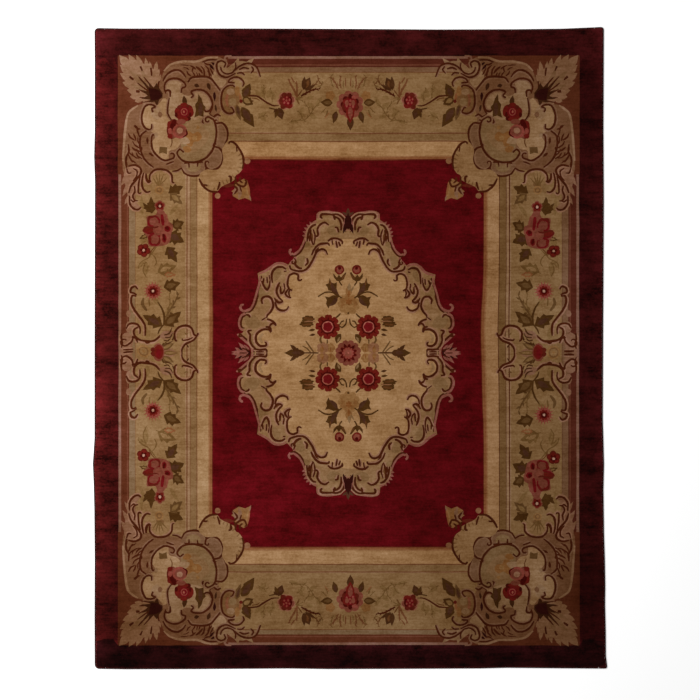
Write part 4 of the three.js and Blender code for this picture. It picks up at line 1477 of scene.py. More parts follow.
place([("leaf olive", leaf((3.4, 9), (5.6, 4.4), 3, bend=0.1))])
place([("shell olive", leaf((4, 7.6), (5.2, 5.2), 1.1))])
place([("leaf brown", leaf((20.8, 0), (30.4, 0), 4.8, lobes=3))], "sides")
place([("leaf olive", leaf((25, 0), (30.8, 0), 2.2))], "sides")
place([("mauve brown", leaf((22.5, 0), (27.5, 0), 1.8))], "sides")
place(twig((23, 0), (18, 0.1), (14.2, 0), width=0.75, shade="leaf brown"), "sides")
place(twig((16.6, 0.4), (18.6, 3), (20.4, 5.8), width=0.65, shade="leaf light"))
place(twig((18, 0.4), (20, 2.4), (22, 3.4), width=0.6, shade="leaf light"))
place([("leaf brown", leaf((24.6, 1), (27.9, 4), 1.9))])

# %% Draw the rosette
FLAMES = 11
rosette = [("dusty pink", petals((0, 0), 6.3, 12, 0.12)), ("rose red", petals((0, 0), 4.3, FLAMES, 0.3))]
for i in range(FLAMES):
    angle = 2 * math.pi * (i + 0.5) / FLAMES
    ray = np.array([math.cos(angle), math.sin(angle)])
    rosette.append(("rose shadow", leaf(2.0 * ray, (5.0 if i % 2 else 4.4) * ray, 1.3)))
rosette += [("pink", petals((0, 0), 2.9, FLAMES, 0.28)), ("bud pink", petals((0, 0), 1.8, 6, 0.3))]
rosette.append(("rose ring", disc((0.1, 0), 0.5, 8)))
place(rosette, "once")

# %% Set a finial at each of the medallion's four points
SIDE_FINIAL = [
    # from, to, width
    ((49, 0.8), (53, 5), 1.7), ((48, 0.2), (56.2, 0.5), 2.2), ((47.6, 1.6), (50.4, 4), 1.1),
    ((51.6, 0.8), (54.6, 2.6), 1.2),
]
place([("heart maroon", leaf((47, 0.4), (54.6, 1.4), 4.6))])
place(leaves("rim rose", SIDE_FINIAL))
place(strokes("outline", [(0.7, [(47.6, 1), (51.2, 2.4)]), (0.6, [(48.6, 0), (52.4, 0)])]))
END_FINIAL = [
    # shade, from, to, width
    ("rim rose", (2, 60), (1.7, 65.4), 1.1), ("heart maroon", (0.1, 60.2), (0.1, 68.8), 3.3),
    ("heart maroon", (0.3, 64.2), (2.5, 58), 2.1), ("mauve brown", (0, 66.4), (0.1, 70.6), 1.8),
    ("mauve brown", (0.1, 66.8), (2.9, 68.7), 1.3), ("heart maroon", (0.1, 63), (0.1, 68.3), 1.3),
]
place(shaded_leaves(END_FINIAL))
print(len(cartoon), "layers so far")
# %% [markdown]
# ## From the cartoon to the loom
#
# The weaver's rows drift a little, so the woven pattern is a few millimetres out of the
# drawn one: it is the hand in handmade. Two small tables give where some drawn lines came
# out, across and along, and everything between them is drawn out in proportion. A third one
# gives the few parts that the weaver placed by eye, a little off. A drawn line also has to
# keep to whole knots, so each place on it slips a little to one side or the other.

# %% Let the rows drift
ACROSS = {
    # where a line is drawn and where it is woven, in cm
    "drawn": [-110.9, -64.9, 0, 64.9, 110.9],
    "woven": [-111.3, -65.7, -0.9, 63.8, 110.1],
}
ALONG = {
    "drawn": [-141.5, -92.4, 0, 92.4, 141.5],
    "woven": [-142.5, -95.0, -2.3, 90.1, 140.2],
}
PULLS = [
    # drawn place, how far the cloth drew it across and along, and over how wide a part, in cm
    ((-32, 44), (0.5, -1.3), 16), ((0, 68), (0, -1.1), 26), ((32, 44), (-1.3, -1.6), 16),
    ((-25, 51), (0, -0.7), 8), ((25, 51), (0, -0.8), 8), ((-53, 14), (0.5, 0), 14),
    ((52, 10), (-2.4, 0), 18), ((50, -18), (-2.0, 0), 14), ((44, -34), (-0.8, 0), 12),
    ((45, 28), (-0.6, 0), 10), ((-26, -50), (0, 1.1), 13), ((26, -50), (0, 0.6), 10),
    ((-94, -29), (0, 2.2), 10), ((-91, -63), (0, 2.8), 10), ((-104, -5), (0, 2.0), 7),
    ((91, 59), (0, -2.6), 9), ((90, -59), (0, 1.5), 6), ((91, -71), (0, -1.6), 4.5),
    ((99, -49), (0, -1.4), 4.5), ((-5, -67), (0, 0.6), 20), ((39, 39), (-1.2, -1.0), 6),
]


def pulled(line):
    """Drawn places after the cloth has drawn them aside here and there."""
    moved = np.array(line, float)
    for place, pull, reach in PULLS:
        nearness = np.exp(-((np.hypot(*(line - place).T) / reach) ** 2))
        moved += nearness[:, None] * pull
    return moved


def drifted(value, table):
    drawn, woven = table["drawn"], table["woven"]
    inside = np.interp(value, drawn, woven)
    beyond = value - np.clip(value, drawn[0], drawn[-1])
    return inside + beyond


KNOT_SLIP = 0.17
SLIP_WIDTH = 0.9
# The slips are drawn by chance from a numbered start, so every weaving comes out the same.
SLIP_START = 7
noise.seed_set(SLIP_START)


def slipped(line):
    """Drawn places, each moved a little as a line is that has to keep to whole knots."""
    slips = [noise.noise_vector(Vector((x, y, 0.0)) / SLIP_WIDTH)[:2] for x, y in line]
    return line + KNOT_SLIP * np.array(slips)


def on_loom(line):
    """Drawn places, in cm, as woven places on the floor, in metres."""
    line = slipped(pulled(line))
    return CM * np.column_stack([drifted(line[:, 0], ACROSS), drifted(line[:, 1], ALONG)])


# %% [markdown]
# ## Cutting the pile's surface along the drawing
#
# A picture laid over the carpet would blur close to, and a grid fine enough for the
# outlines would need millions of facets. A planar map does better: every line of the
# drawing becomes an edge of the mesh, so facets are small only where the drawing is, and a
# facet has exactly one shade. Blender's own constrained triangulation makes it from points
# and edges, and also finds where the lines cross.

# %% Thin out and split a line's points
def thinned(line, slack):
    """Leaves out the points that stand less than the slack off the line between others."""
    keep = np.zeros(len(line), bool)
    keep[[0, -1]] = True
    spans = [(0, len(line) - 1)]
    while spans:
        first, last = spans.pop()
        if last - first < 2:
            continue
        chord = line[last] - line[first]
        length = math.hypot(*chord)
        off = line[first + 1 : last] - line[first]
        if length < 1e-9:
            distance = np.hypot(*off.T)
        else:
            distance = np.abs(off[:, 0] * chord[1] - off[:, 1] * chord[0]) / length
        worst = int(np.argmax(distance))
        if distance[worst] > slack:
            middle = first + 1 + worst
            keep[middle] = True
            spans += [(first, middle), (middle, last)]
    return line[keep]


def closed_thinned(line, slack):
    """The same for a closed line, from two places that are kept."""
    far = int(np.argmax(np.hypot(*(line - line[0]).T)))
    there = thinned(line[: far + 1], slack)
    back = thinned(np.vstack([line[far:], line[:1]]), slack)
    return np.vstack([there[:-1], back[:-1]])


def split(line, longest):
    """Puts points on a closed line's long edges."""
    parts = []
    for here, there in zip(line, np.roll(line, -1, axis=0)):
        count = max(1, math.ceil(math.dist(here, there) / longest))
        parts.append(here + (there - here) * np.arange(count)[:, None] / count)
    return np.vstack(parts)


# %% Bring the layers onto the loom
LINE_SLACK = 0.08
BACK_SLACK = 0.35
THINNEST_ON_BACK = 1.3
LONGEST_EDGE = 6.0


def thickness(line):
    """How wide a closed line's inside is, on average."""
    beyond = np.roll(line, -1, axis=0)
    area = abs(np.sum(line[:, 0] * beyond[:, 1] - line[:, 1] * beyond[:, 0])) / 2
    return 2 * area / np.hypot(*(beyond - line).T).sum()


def woven(slack, thinnest=0.0):
    """The layers as they come out on the loom, without those that are too thin."""
    layers = []
    for shade, line in cartoon:
        if thickness(line) >= thinnest:
            line = split(closed_thinned(line, slack), LONGEST_EDGE)
            layers.append((shade, on_loom(line)))
    return layers


layers = woven(LINE_SLACK)
back_layers = woven(BACK_SLACK, THINNEST_ON_BACK)
print(len(layers), "layers,", sum(len(line) for _, line in layers), "points")
print(len(back_layers), "of them on the back")

# %% Step in from the carpet's edge
EDGE_STEP = 0.02


def stepped_in(line, distance):
    """A closed anticlockwise line moved in from itself."""
    ahead = np.roll(line, -1, axis=0) - np.roll(line, 1, axis=0)
    ahead /= np.hypot(*ahead.T)[:, None]
    return line + distance * np.column_stack([-ahead[:, 1], ahead[:, 0]])


cloth_ring = split(cloth_edge, EDGE_STEP)
top_ring = stepped_in(cloth_ring, EDGE_ROLL)
print(len(cloth_ring), "points round the edge")

# %% Cut the surface
GRID = 0.045
AT_ONCE = 64
SAME_PLACE = 1e-6


def inside(places, line):
    """Which places lie inside a closed line, wound either way round."""
    wound = np.zeros(len(places), int)
    x, y = places[:, 0:1], places[:, 1:2]
    beyond = np.roll(line, -1, axis=0)
    for part in range(0, len(line), AT_ONCE):
        a, b = line[part : part + AT_ONCE], beyond[part : part + AT_ONCE]
        side = (b[:, 0] - a[:, 0]) * (y - a[:, 1]) - (x - a[:, 0]) * (b[:, 1] - a[:, 1])
        up = (a[:, 1] <= y) & (b[:, 1] > y) & (side > 0)
        down = (a[:, 1] > y) & (b[:, 1] <= y) & (side < 0)
        wound += up.sum(axis=1) - down.sum(axis=1)
    return wound != 0


def planar_map(ring, lines, spacing=GRID):
    """Cuts the area inside the ring along all lines: places and triangles.
    The ring's own points come first."""
    low, high = ring.min(axis=0), ring.max(axis=0)
    places = [*ring]
    edges = [(i, (i + 1) % len(ring)) for i in range(len(ring))]
    for line in lines:
        if not np.all((line > low) & (line < high)):
            continue
        base = len(places)
        places.extend(line)
        edges += [(base + i, base + (i + 1) % len(line)) for i in range(len(line))]
    grid = np.stack(np.meshgrid(*(np.arange(a, b, spacing) for a, b in zip(low, high))), -1)
    grid = grid.reshape(-1, 2)
    places.extend(grid[inside(grid, stepped_in(ring, GRID / 3))])
    found = delaunay_2d_cdt([Vector(p) for p in places], edges, [], 0, SAME_PLACE, True)
    corners = np.array([p[:] for p in found[0]])
    facets = np.array(found[2])
    middles = corners[facets].mean(axis=1)
    facets = facets[inside(middles, ring)]
    first = {}
    for new, olds in enumerate(found[3]):
        for old in olds:
            first[old] = new
    ring_corners = [first[i] for i in range(len(ring))]
    return corners, facets, ring_corners


front = planar_map(top_ring, [line for _, line in layers])
back = planar_map(top_ring, [line for _, line in back_layers], 2 * GRID)
print(len(front[1]), "facets on the pile and", len(back[1]), "on the back")

# %% [markdown]
# ## Dyeing the facets
#
# The layers are gone through in the order they were drawn, and each one dyes the facets
# whose middles lie inside it. Sorting the middles by height first means that each line only
# has to be tested against the few facets near it.

# %% Dye each facet
shades = list(SHADE_CARD)


def dyed(corners, facets, layers):
    """The number of each facet's shade."""
    middles = corners[facets].mean(axis=1)
    order = np.argsort(middles[:, 1])
    heights = middles[order, 1]
    shade_of = np.zeros(len(facets), int)
    for shade, line in layers:
        low, high = line.min(axis=0), line.max(axis=0)
        near = order[np.searchsorted(heights, low[1]) : np.searchsorted(heights, high[1])]
        near = near[(middles[near, 0] > low[0]) & (middles[near, 0] < high[0])]
        if len(near):
            shade_of[near[inside(middles[near], line)]] = shades.index(shade)
    return shade_of


front_shades = dyed(*front[:2], layers)
back_shades = dyed(*back[:2], back_layers)
counts = np.bincount(front_shades, minlength=len(shades))
print("facets in each shade:", dict(zip(shades, counts.tolist())))

# %% [markdown]
# ## The knotted pile
#
# The pile is one closed body: the cut surface on top, the backs of the knots underneath,
# which show the same pattern less finely, and a rounded wall between them. Clipped wool is
# never dead level, so the top rises and falls by about a millimetre over a hand's width.

# %% Raise the pile and close it round the edge
RELIEF = 0.0011
RELIEF_WIDTH = 0.16
RELIEF_FADE = 0.04
WALL_STEPS = 3


def pile_height(places):
    """The top of the pile: level at the edge, gently uneven within."""
    edge = np.minimum(cloth_ring.max(axis=0) - np.abs(places), RELIEF_FADE).min(axis=1)
    waves = [noise.noise(Vector((x, y, 0.0)) / RELIEF_WIDTH) for x, y in places]
    return PILE_TOP + RELIEF * np.array(waves) * edge.clip(0) / RELIEF_FADE


def at_height(places, height):
    return np.column_stack([places, np.broadcast_to(height, len(places))])


def wall_rings():
    """The rings of points down the wall, with how far along its section each one is."""
    rings = []
    for i in range(1, 2 * WALL_STEPS + 2):
        upper = i <= WALL_STEPS
        angle = math.pi / 2 * (i if upper else i - 1) / WALL_STEPS
        step_in = EDGE_ROLL * (1 - math.sin(angle))
        roll = EDGE_ROLL * math.cos(angle)
        height = PILE_TOP - EDGE_ROLL + roll if upper else EDGE_ROLL + roll
        if i <= 2 * WALL_STEPS:
            rings.append(at_height(stepped_in(cloth_ring, step_in), height))
    return rings


rings = wall_rings()
body = [at_height(front[0], pile_height(front[0])), at_height(back[0], 0.0), *rings]
starts = np.cumsum([0] + [len(part) for part in body])
ring_numbers = [np.array(front[2])]
ring_numbers += [starts[2 + i] + np.arange(len(ring)) for i, ring in enumerate(rings)]
ring_numbers += [starts[1] + np.array(back[2])]
wall = [
    np.column_stack([above, below, np.roll(below, -1), np.roll(above, -1)])
    for above, below in zip(ring_numbers, ring_numbers[1:])
]
wall = np.vstack(wall)
faces = front[1].tolist() + (back[1][:, ::-1] + starts[1]).tolist() + wall.tolist()

pile_mesh = bpy.data.meshes.new("hand_knotted_pile")
pile_mesh.from_pydata(np.vstack(body).tolist(), [], faces)
pile = bpy.data.objects.new("hand_knotted_pile", pile_mesh)
bpy.context.collection.objects.link(pile)
pile_mesh.shade_smooth()
print("the pile has", len(faces), "faces")

# %% Give the facets their shades
wall_shades = np.full(len(wall), shades.index("maroon"))
face_shades = np.concatenate([front_shades, back_shades, wall_shades])
shade_light = np.array([dye(shade) + [1.0] for shade in shades])
dyes = pile_mesh.attributes.new("dye", "FLOAT_COLOR", "FACE")
dyes.data.foreach_set("color", shade_light[face_shades].ravel())
underside = np.zeros(len(faces), int)
underside[len(front_shades) : len(front_shades) + len(back_shades)] = 1
pile_mesh.polygons.foreach_set("material_index", underside)
print(np.bincount(underside)[1], "faces are the backs of knots")

# %% Note how unevenly each shade took its dye
UNEVEN = {
    "crimson": 1.5,
    "maroon": 3.0,
    "maroon head": 2.6,
    "maroon foot": 3.0,
    "maroon right": 2.6,
}
EVEN = 0.75

shade_uneven = np.array([UNEVEN.get(shade, EVEN) for shade in shades])
uneven = pile_mesh.attributes.new("uneven", "FLOAT", "FACE")
uneven.data.foreach_set("value", shade_uneven[face_shades])

# %% Paint light and shade onto the pile where it leans
PAINTED_SURROUND_LIGHT = {
    # how far across or along, in metres, and how bright painted light and shade make the surround
    "across": [-1.225, -1.205, -1.17, -1.135, -1.113, 1.11, 1.17, 1.2, 1.225],
    "painted light across": [1.6, 1.25, 1.0, 0.85, 0.78, 0.92, 1.0, 1.25, 1.8],
    "along": [-1.53, -1.5, -1.465, -1.422, -1.4, 1.4, 1.45, 1.5, 1.53],
    "painted light along": [1.3, 1.05, 1.0, 2.2, 1.0, 0.88, 0.94, 1.08, 1.2],
}
PAINTED_LIGHT_SPOTS = [
    # middle in metres, reach, how much brighter painted light makes it; negative for painted shade
    ((-0.42, -0.75), 0.22, 0.3),
    ((0.05, -0.85), 0.22, 0.18),
    ((0.0, 0.85), 0.3, -0.07),
    ((0.97, 0.14), 0.14, 0.2),
    ((-0.95, -0.45), 0.2, 0.12),
    ((-1.17, -1.3), 0.3, -0.34),
    ((1.35, -1.24), 0.36, -0.58),
    ((0.94, -1.07), 0.12, 0.2),
    ((-0.92, -1.04), 0.18, 0.18),
    ((-1.18, -0.4), 0.16, 0.36),
    ((-1.18, 1.42), 0.14, 0.2),
    ((-1.3, 1.15), 0.34, 0.2),
    ((1.18, 1.44), 0.12, 0.25),
    ((1.02, 1.34), 0.1, -0.2),
    ((0.28, -1.47), 0.2, 0.25),
    ((1.3, 1.18), 0.18, -0.5),
    ((1.2, -1.06), 0.1, -0.25),
    ((1.16, 0.4), 0.28, 0.1),
    ((-1.18, 0.02), 0.1, -0.16),
    ((0.68, 1.45), 0.2, -0.22),
    ((0.66, 1.1), 0.2, -0.14),
    ((0.66, -1.3), 0.26, -0.22),
    ((0.47, 0.42), 0.2, -0.15),
    ((0.6, 0.05), 0.2, -0.09),
    ((0.42, -0.9), 0.12, -0.16),
    ((-0.8, -1.25), 0.2, -0.08),
    ((-0.7, 1.2), 0.2, -0.1),
]

# The spots paint light and shade over the whole pile. The surround also gets painted sheen at its outer
# edges and painted shade within.
places = np.vstack(body)[:, :2]
painted_spot_light = np.ones(len(places))
for middle, reach, more in PAINTED_LIGHT_SPOTS:
    painted_spot_light += more * np.exp(-((np.hypot(*(places - middle).T) / reach) ** 2))
painted_edge_light = np.interp(places[:, 0], PAINTED_SURROUND_LIGHT["across"], PAINTED_SURROUND_LIGHT["painted light across"])
painted_edge_light *= np.interp(places[:, 1], PAINTED_SURROUND_LIGHT["along"], PAINTED_SURROUND_LIGHT["painted light along"])
loop_places = np.array([loop.vertex_index for loop in pile_mesh.loops])
loop_faces = np.repeat(np.arange(len(faces)), [len(face) for face in faces])
is_surround = np.array(["maroon" in shade.split() for shade in shades])
in_surround = is_surround[face_shades[loop_faces]]
painted_light_at = painted_spot_light[loop_places] * np.where(in_surround, painted_edge_light[loop_places], 1.0)
# The corner attribute lean carries this painted light and shade.
lean = pile_mesh.attributes.new("lean", "FLOAT", "CORNER")
lean.data.foreach_set("value", painted_light_at)
print("the pile is", painted_light_at.min().round(2), "to", painted_light_at.max().round(2), "times as bright")

# %% [markdown]
# ## Reckoning with shader nodes
#
# The wool's colour is the dye times a few soft variations. Wired by hand that is a web of
# nodes, so a small class wraps a node's socket and lets it be added and multiplied like a
# number. Numbers go through Math nodes, vectors through Vector Math, and colours through Mix,
# because a Math node would turn a colour grey.

# %% Wrap a socket
COLOUR_MIX = {"data_type": "RGBA", "clamp_result": False}


class Reading:
    """A value that a shader node gives at each spot of a surface."""

    def __init__(self, tree, socket=None):
        self.tree, self.socket = tree, socket

    def node(self, kind, settings=None, sockets=None, gives=0):
        """Adds a node: its settings first, then its sockets' values or links."""
        node = self.tree.nodes.new(kind)
        for name, value in (settings or {}).items():
            if name == "stops":
                for stop, (place, colour) in zip(node.color_ramp.elements, value):
                    stop.position, stop.color = place, colour
            else:
                setattr(node, name, value)
        for name, value in (sockets or {}).items():
            if isinstance(value, Reading):
                self.tree.links.new(value.socket, node.inputs[name])
            else:
                node.inputs[name].default_value = value
        return Reading(self.tree, node.outputs[gives])

    def _sum(self, operation, one, other):
        kinds = {r.socket.type for r in (one, other) if isinstance(r, Reading)}
        pair = [one, other]
        if "RGBA" in kinds:
            pair = [p if isinstance(p, Reading) else (p, p, p, 1) for p in pair]
            settings = {**COLOUR_MIX, "blend_type": operation}
            return self.node("ShaderNodeMix", settings, {0: 1.0, 6: pair[0], 7: pair[1]}, 2)
        if "VECTOR" in kinds:
            pair = [(p,) * 3 if isinstance(p, (int, float)) else p for p in pair]
            kind = "ShaderNodeVectorMath"
        else:
            kind = "ShaderNodeMath"
        return self.node(kind, {"operation": operation}, {0: pair[0], 1: pair[1]})

    def __add__(self, other):
        return self._sum("ADD", self, other)

    def __radd__(self, other):
        return self._sum("ADD", other, self)

    def __sub__(self, other):
        return self._sum("SUBTRACT", self, other)

    def __rsub__(self, other):
        return self._sum("SUBTRACT", other, self)

    def __mul__(self, other):
        return self._sum("MULTIPLY", self, other)

    def __rmul__(self, other):
        return self._sum("MULTIPLY", other, self)

    def __pow__(self, power):
        return self._sum("POWER", self, power)

    def __rpow__(self, base):
        return self._sum("POWER", base, self)

    def blend(self, low, high):
        """The first colour where this reading is 0, the second where it is 1."""
        low, high = (c if isinstance(c, Reading) else (*c, 1) for c in (low, high))
        return self.node("ShaderNodeMix", COLOUR_MIX, {0: self, 6: low, 7: high}, 2)


# %% Make a finish
def finish(name, roughness, sheen):
    """A new material, its shader, and a reading to start from."""
    material = bpy.data.materials.new(name)
    material.use_nodes = True
    tree = material.node_tree
    shader = next(n for n in tree.nodes if n.type == "BSDF_PRINCIPLED")
    shader.inputs["Roughness"].default_value = roughness
    shader.inputs["Specular IOR Level"].default_value = 0.05
    shader.inputs["Sheen Weight"].default_value = sheen
    shader.inputs["Sheen Roughness"].default_value = 0.5
    return material, shader, Reading(tree)


def feed(shader, name, reading):
    reading.tree.links.new(reading.socket, shader.inputs[name])


def grain(start, stretch, scale, detail=2.0, roughness=0.5):
    """A noise from 0 to 1, at so many spots a metre, stretched by a scale on each axis."""
    where = start.node("ShaderNodeTexCoord", gives="Object") * stretch
    sockets = {"Vector": where, "Scale": scale, "Detail": detail, "Roughness": roughness}
    return start.node("ShaderNodeTexNoise", sockets=sockets)


# %% [markdown]
# ## The nap of the wool
#
# Hand-spun wool takes the dye unevenly. Each batch of yarn runs across the carpet in a band
# a few rows high, slightly lighter or darker than the next, which weavers call abrash, and
# the clipped pile shows soft patches where it leans. The knots themselves are about three
# millimetres wide, too fine to model one by one, so they are a fine grain and a bump. Where
# the wool is darker it is warmer too, so its green and blue fall faster than its red.

# %% Finish the pile
ABRASH = 0.8
PATCHES = 1.3
TUFTS = 0.9
KNOTS = 0.6
WEFTS = 0.6
DARKEST = 0.2
KNOT_SCALE = 330
KNOT_BUMP = 0.0012

pile_wool, shader, start = finish("cut wool pile", 0.95, 0.02)
dye_colour = start.node("ShaderNodeAttribute", {"attribute_name": "dye"}, gives="Color")
uneven_dye = start.node("ShaderNodeAttribute", {"attribute_name": "uneven"}, gives="Fac")
# lean is the painted light and shade that the pile's colour is multiplied by
painted_pile_light = start.node("ShaderNodeAttribute", {"attribute_name": "lean"}, gives="Fac")
long_rows = grain(start, (2.2, 16.0, 1.0), 1.0, 3.0, 0.6) - 0.5
short_rows = grain(start, (9.0, 48.0, 1.0), 1.0, 2.0) - 0.5
patches = grain(start, (1.0, 1.2, 1.0), 8.0, 5.0, 0.7) - 0.5
tufts = grain(start, (0.9, 1.0, 1.0), 120.0, 2.0) - 0.5
wefts = grain(start, (0.12, 1.0, 1.0), 130.0, 1.0) - 0.5
knots = grain(start, (0.8, 1.0, 0.5), KNOT_SCALE, 1.0) - 0.5
abrash = ABRASH * (0.5 * long_rows + 0.4 * short_rows)
fine = (0.4 + 0.4 * uneven_dye) * (TUFTS * tufts + WEFTS * wefts + KNOTS * knots)
light = painted_pile_light * (1 + uneven_dye * (abrash + PATCHES * patches) + fine)
light = start.node("ShaderNodeMath", {"operation": "MAXIMUM"}, {0: light, 1: DARKEST})
green_fall = 1.45 - 0.15 * uneven_dye
blue_fall = 2.2 - 0.33 * uneven_dye
warmth = {"Red": light, "Green": light**green_fall, "Blue": light**blue_fall}
feed(shader, "Base Color", dye_colour * start.node("ShaderNodeCombineColor", sockets=warmth))
height = {"Strength": 0.6, "Distance": KNOT_BUMP, "Height": knots + 0.6 * patches}
feed(shader, "Normal", start.node("ShaderNodeBump", sockets=height, gives="Normal"))
print("the pile's finish has", len(pile_wool.node_tree.nodes), "nodes")

# %% [markdown]
# ## The backs of the knots
#
# Turned over, a carpet shows each knot as two little loops in a row. The rows are level and
# the loops stand one above the other, so two sets of ridges crossing make the weave.

# %% Finish the back
ROW_PITCH = 0.003
ROW_HEIGHT = 0.0006

back_wool, shader, start = finish("woven back", 0.9, 0.05)
dye_colour = start.node("ShaderNodeAttribute", {"attribute_name": "dye"}, gives="Color")
ridge = {"wave_type": "BANDS", "wave_profile": "SIN"}
object_place = start.node("ShaderNodeTexCoord", gives="Object")
ridge_scale = {"Vector": object_place, "Scale": math.pi / 10 / ROW_PITCH, "Distortion": 0.6}
rows = start.node("ShaderNodeTexWave", {**ridge, "bands_direction": "Y"}, ridge_scale, "Fac")
loops = start.node("ShaderNodeTexWave", {**ridge, "bands_direction": "X"}, ridge_scale, "Fac")
weave = rows * loops
# The colour is darker where the loops dip between the ridges: painted shade in the grooves.
feed(shader, "Base Color", dye_colour * (0.75 + 0.4 * weave))
height = {"Strength": 0.5, "Distance": ROW_HEIGHT, "Height": weave}
feed(shader, "Normal", start.node("ShaderNodeBump", sockets=height, gives="Normal"))
print("the back's knots are", 1000 * ROW_PITCH, "mm high")

# %% Lay out the pile's own map
MAP_LENGTH = 0.97
MAP_MARGIN = 0.012
BACK_SHARE = 0.2

span = cloth_ring.max(axis=0) - cloth_ring.min(axis=0)
scale = MAP_LENGTH / span[1]
corner_low = cloth_ring.min(axis=0)
flat = np.vstack([part[:, :2] for part in body])
on_map = (flat - corner_low) * scale + MAP_MARGIN
wall_from = starts[2]
depth = PILE_TOP - np.vstack(rings)[:, 2]
middle_line = flat[wall_from:] / np.abs(flat[wall_from:]).max(axis=0)
outward = np.where(np.abs(middle_line) > 0.985, np.sign(middle_line), 0)
on_map[wall_from:] += outward * depth[:, None] * scale * 0.8
back_scale = scale * BACK_SHARE
on_back = (flat - corner_low) * (-back_scale, back_scale) + (MAP_MARGIN, MAP_MARGIN)
on_back[:, 0] += 1 - 2 * MAP_MARGIN
uv = pile_mesh.uv_layers.new(name="OFBake")
places_on_map = on_map[loop_places]
on_underside = underside[loop_faces] == 1
places_on_map[on_underside] = on_back[loop_places[on_underside]]
uv.data.foreach_set("uv", places_on_map.ravel())
print("the map reaches", places_on_map.max(axis=0).round(3).tolist())

# %% Hand the pile over
pile_mesh.materials.append(pile_wool)
pile_mesh.materials.append(back_wool)
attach(pile, "root")
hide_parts("knotted_cloth")

# %% [markdown]
# ## The overcast edge
#
# The edge of the real carpet is a cord of warps and knot ends, bound over and over with dark
# yarn. A plain tube would do from above, but the turns of yarn catch the light from the side.
# So each cord is a tube whose rings stand alternately on a turn and between two turns, and
# lean a little, as the yarn does on its way round.

# %% Follow the edge
CORD_RADIUS = 0.0035
CORD_OUT = 0.004
YARN_PITCH = 0.003
YARN_DEPTH = 0.0005
YARN_LEAN = 0.0008
CORD_SIDES = 10
STRETCH_GAP = 0.0004


def evenly(line, step):
    """Points a step apart along a closed line."""
    closed = np.vstack([line, line[:1]])
    run = np.concatenate([[0], np.cumsum(np.hypot(*np.diff(closed, axis=0).T))])
    count = 2 * round(run[-1] / step / 2)
    at = np.linspace(0, run[-1], count, endpoint=False)
    return np.column_stack([np.interp(at, run, closed[:, 0]), np.interp(at, run, closed[:, 1])])


cord_line = evenly(stepped_in(cloth_edge, -CORD_OUT), YARN_PITCH / 2)
print("the cord is", round(len(cord_line) * YARN_PITCH / 2, 2), "m long")


# %% Wind a stretch of cord
def wound_cord(name, chosen):
    """A cord along the chosen points of the line, which follow one another."""
    first = np.flatnonzero(chosen & ~np.roll(chosen, 1))[0]
    line = np.roll(cord_line, -first, axis=0)[: chosen.sum()]
    ahead = np.gradient(line, axis=0)
    ahead /= np.hypot(*ahead.T)[:, None]
    outward = np.column_stack([ahead[:, 1], -ahead[:, 0]])
    angle = 2 * np.pi * (np.arange(CORD_SIDES) + 0.5) / CORD_SIDES
    reach = CORD_RADIUS - YARN_DEPTH * (np.arange(len(line)) % 2)
    lean = YARN_LEAN * np.cos(angle)[None, :] * np.ones(len(line))[:, None]
    lean[[0, -1]] = 0
    side = reach[:, None] * np.cos(angle)
    flat = line[:, None] + outward[:, None] * side[..., None] + ahead[:, None] * lean[..., None]
    up = CORD_RADIUS + reach[:, None] * np.sin(angle)
    corners = np.concatenate([flat, up[..., None]], axis=2).reshape(-1, 3)
    number = np.arange(len(corners)).reshape(len(line), CORD_SIDES)
    beyond = np.roll(number, -1, axis=1)
    turns = np.stack([number[:-1], number[1:], beyond[1:], beyond[:-1]], axis=-1)
    faces = turns.reshape(-1, 4).tolist()
    faces += [number[0].tolist(), number[-1, ::-1].tolist()]
    mesh = bpy.data.meshes.new(name)
    mesh.from_pydata(corners.tolist(), [], faces)
    mesh.shade_smooth()
    cord = bpy.data.objects.new(name, mesh)
    bpy.context.collection.objects.link(cord)
    return cord


# %% Finish the binding yarn
YARN_FUZZ = 0.0004
YARN_DARK = (0.018, 0.004, 0.004)
YARN_LIGHT = (0.075, 0.020, 0.016)

overcast_wool, shader, start = finish("overcast yarn", 0.9, 0.15)
strands = grain(start, (1.0, 1.0, 1.0), 60.0, 4.0, 0.6)
feed(shader, "Base Color", strands.blend(YARN_DARK, YARN_LIGHT))
fuzz = grain(start, (1.0, 1.0, 1.0), 900.0, 2.0)
height = {"Strength": 0.5, "Distance": YARN_FUZZ, "Height": fuzz}
feed(shader, "Normal", start.node("ShaderNodeBump", sockets=height, gives="Normal"))
print("the binding yarn is", overcast_wool.name)

# %% Bind the four stretches
foot_low, foot_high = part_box("end_cord_foot")
head_low, head_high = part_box("end_cord_head")
x, y = cord_line.T
at_foot = y < foot_high.y + CORD_RADIUS
at_head = y > head_low.y - CORD_RADIUS
end_foot = at_foot & (x > foot_low.x) & (x < foot_high.x)
end_head = at_head & (x > head_low.x) & (x < head_high.x)
near_foot = at_foot & (x > foot_low.x - STRETCH_GAP) & (x < foot_high.x + STRETCH_GAP)
near_head = at_head & (x > head_low.x - STRETCH_GAP) & (x < head_high.x + STRETCH_GAP)
on_sides = ~near_foot & ~near_head
STRETCHES = {
    "end_cord_foot": end_foot,
    "end_cord_head": end_head,
    "side_cord_left": on_sides & (x < 0),
    "side_cord_right": on_sides & (x > 0),
}
for node, chosen in STRETCHES.items():
    cord = wound_cord("overcast_" + node, chosen)
    cord.data.materials.append(overcast_wool)
    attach(cord, "root")
    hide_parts(node)
    print(node, "has", round(chosen.sum() / 2), "turns of yarn")

# %% [markdown]
# ## The studio
#
# The carpet lies on a plain pale floor under one big soft light, high up and to the left, so
# the left side is a little brighter than the right. The sky adds a weak even light, which
# keeps the far side from going dull. The floor glows a little, so that it stays pale even
# where the light falls off.

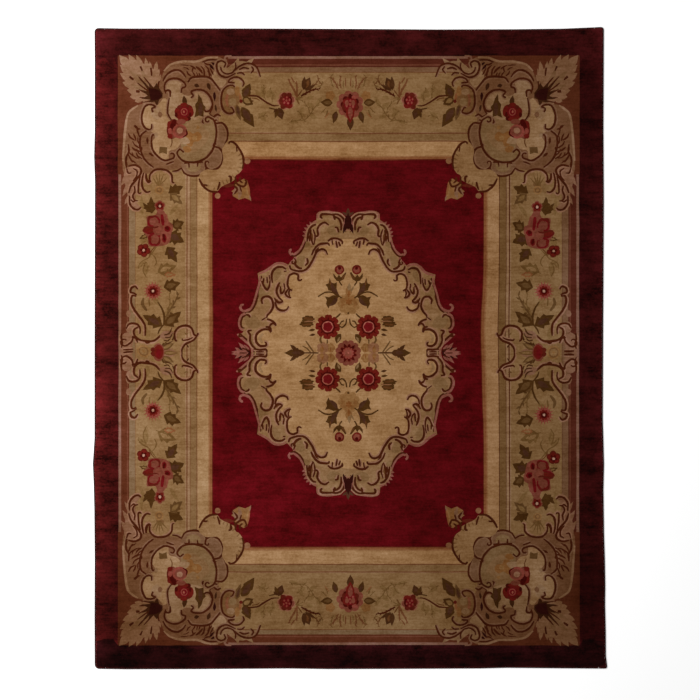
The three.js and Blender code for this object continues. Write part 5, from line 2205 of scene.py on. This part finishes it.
# %% Lay the floor
FLOOR_SIZE = 30.0
FLOOR_DROP = 0.0003
FLOOR_GLOW = 0.5

bpy.ops.mesh.primitive_plane_add(size=FLOOR_SIZE, location=(0, 0, -FLOOR_DROP))
floor = bpy.context.object
floor.name = "pale_floor"
floor_paint, shader, start = finish("pale floor", 0.8, 0)
shader.inputs["Base Color"].default_value = (0.92, 0.92, 0.92, 1)
shader.inputs["Emission Color"].default_value = (1, 1, 1, 1)
shader.inputs["Emission Strength"].default_value = FLOOR_GLOW
floor.data.materials.append(floor_paint)

# %% Hang the light
LIGHT_PLACE = (-2.6, 0.9, 4.2)
LIGHT_SIZE = 2.6
LIGHT_POWER = 225
SKY = 0.16

lamp = bpy.data.lights.new("soft_light", "AREA")
lamp.shape = "SQUARE"
lamp.size = LIGHT_SIZE
lamp.energy = LIGHT_POWER
soft_light = bpy.data.objects.new("soft_light", lamp)
soft_light.location = LIGHT_PLACE
soft_light.rotation_euler = (-Vector(LIGHT_PLACE)).to_track_quat("-Z", "Y").to_euler()
bpy.context.collection.objects.link(soft_light)
world = bpy.data.worlds.new("even_sky")
world.use_nodes = True
world.node_tree.nodes["Background"].inputs["Color"].default_value = (1, 1, 1, 1)
world.node_tree.nodes["Background"].inputs["Strength"].default_value = SKY
bpy.context.scene.world = world
bpy.context.scene.view_settings.view_transform = "Standard"

# %% [markdown]
# ## The camera
#
# The photograph looks straight down, with the carpet's head at the top and a little floor
# all round.

# %% Set the camera
CAMERA_HEIGHT = 9.0
CAMERA_PLACE = (-0.0002, -0.009)
VIEW_WIDTH = 3.353
SENSOR = 36.0

camera_data = bpy.data.cameras.new("straight_down")
camera_data.sensor_width = SENSOR
camera_data.lens = SENSOR * (CAMERA_HEIGHT - PILE_TOP) / VIEW_WIDTH
camera_data.clip_end = 2 * FLOOR_SIZE
camera = bpy.data.objects.new("straight_down", camera_data)
camera.location = (*CAMERA_PLACE, CAMERA_HEIGHT)
bpy.context.collection.objects.link(camera)
bpy.context.scene.camera = camera
print("the lens is", round(camera_data.lens, 1), "mm")
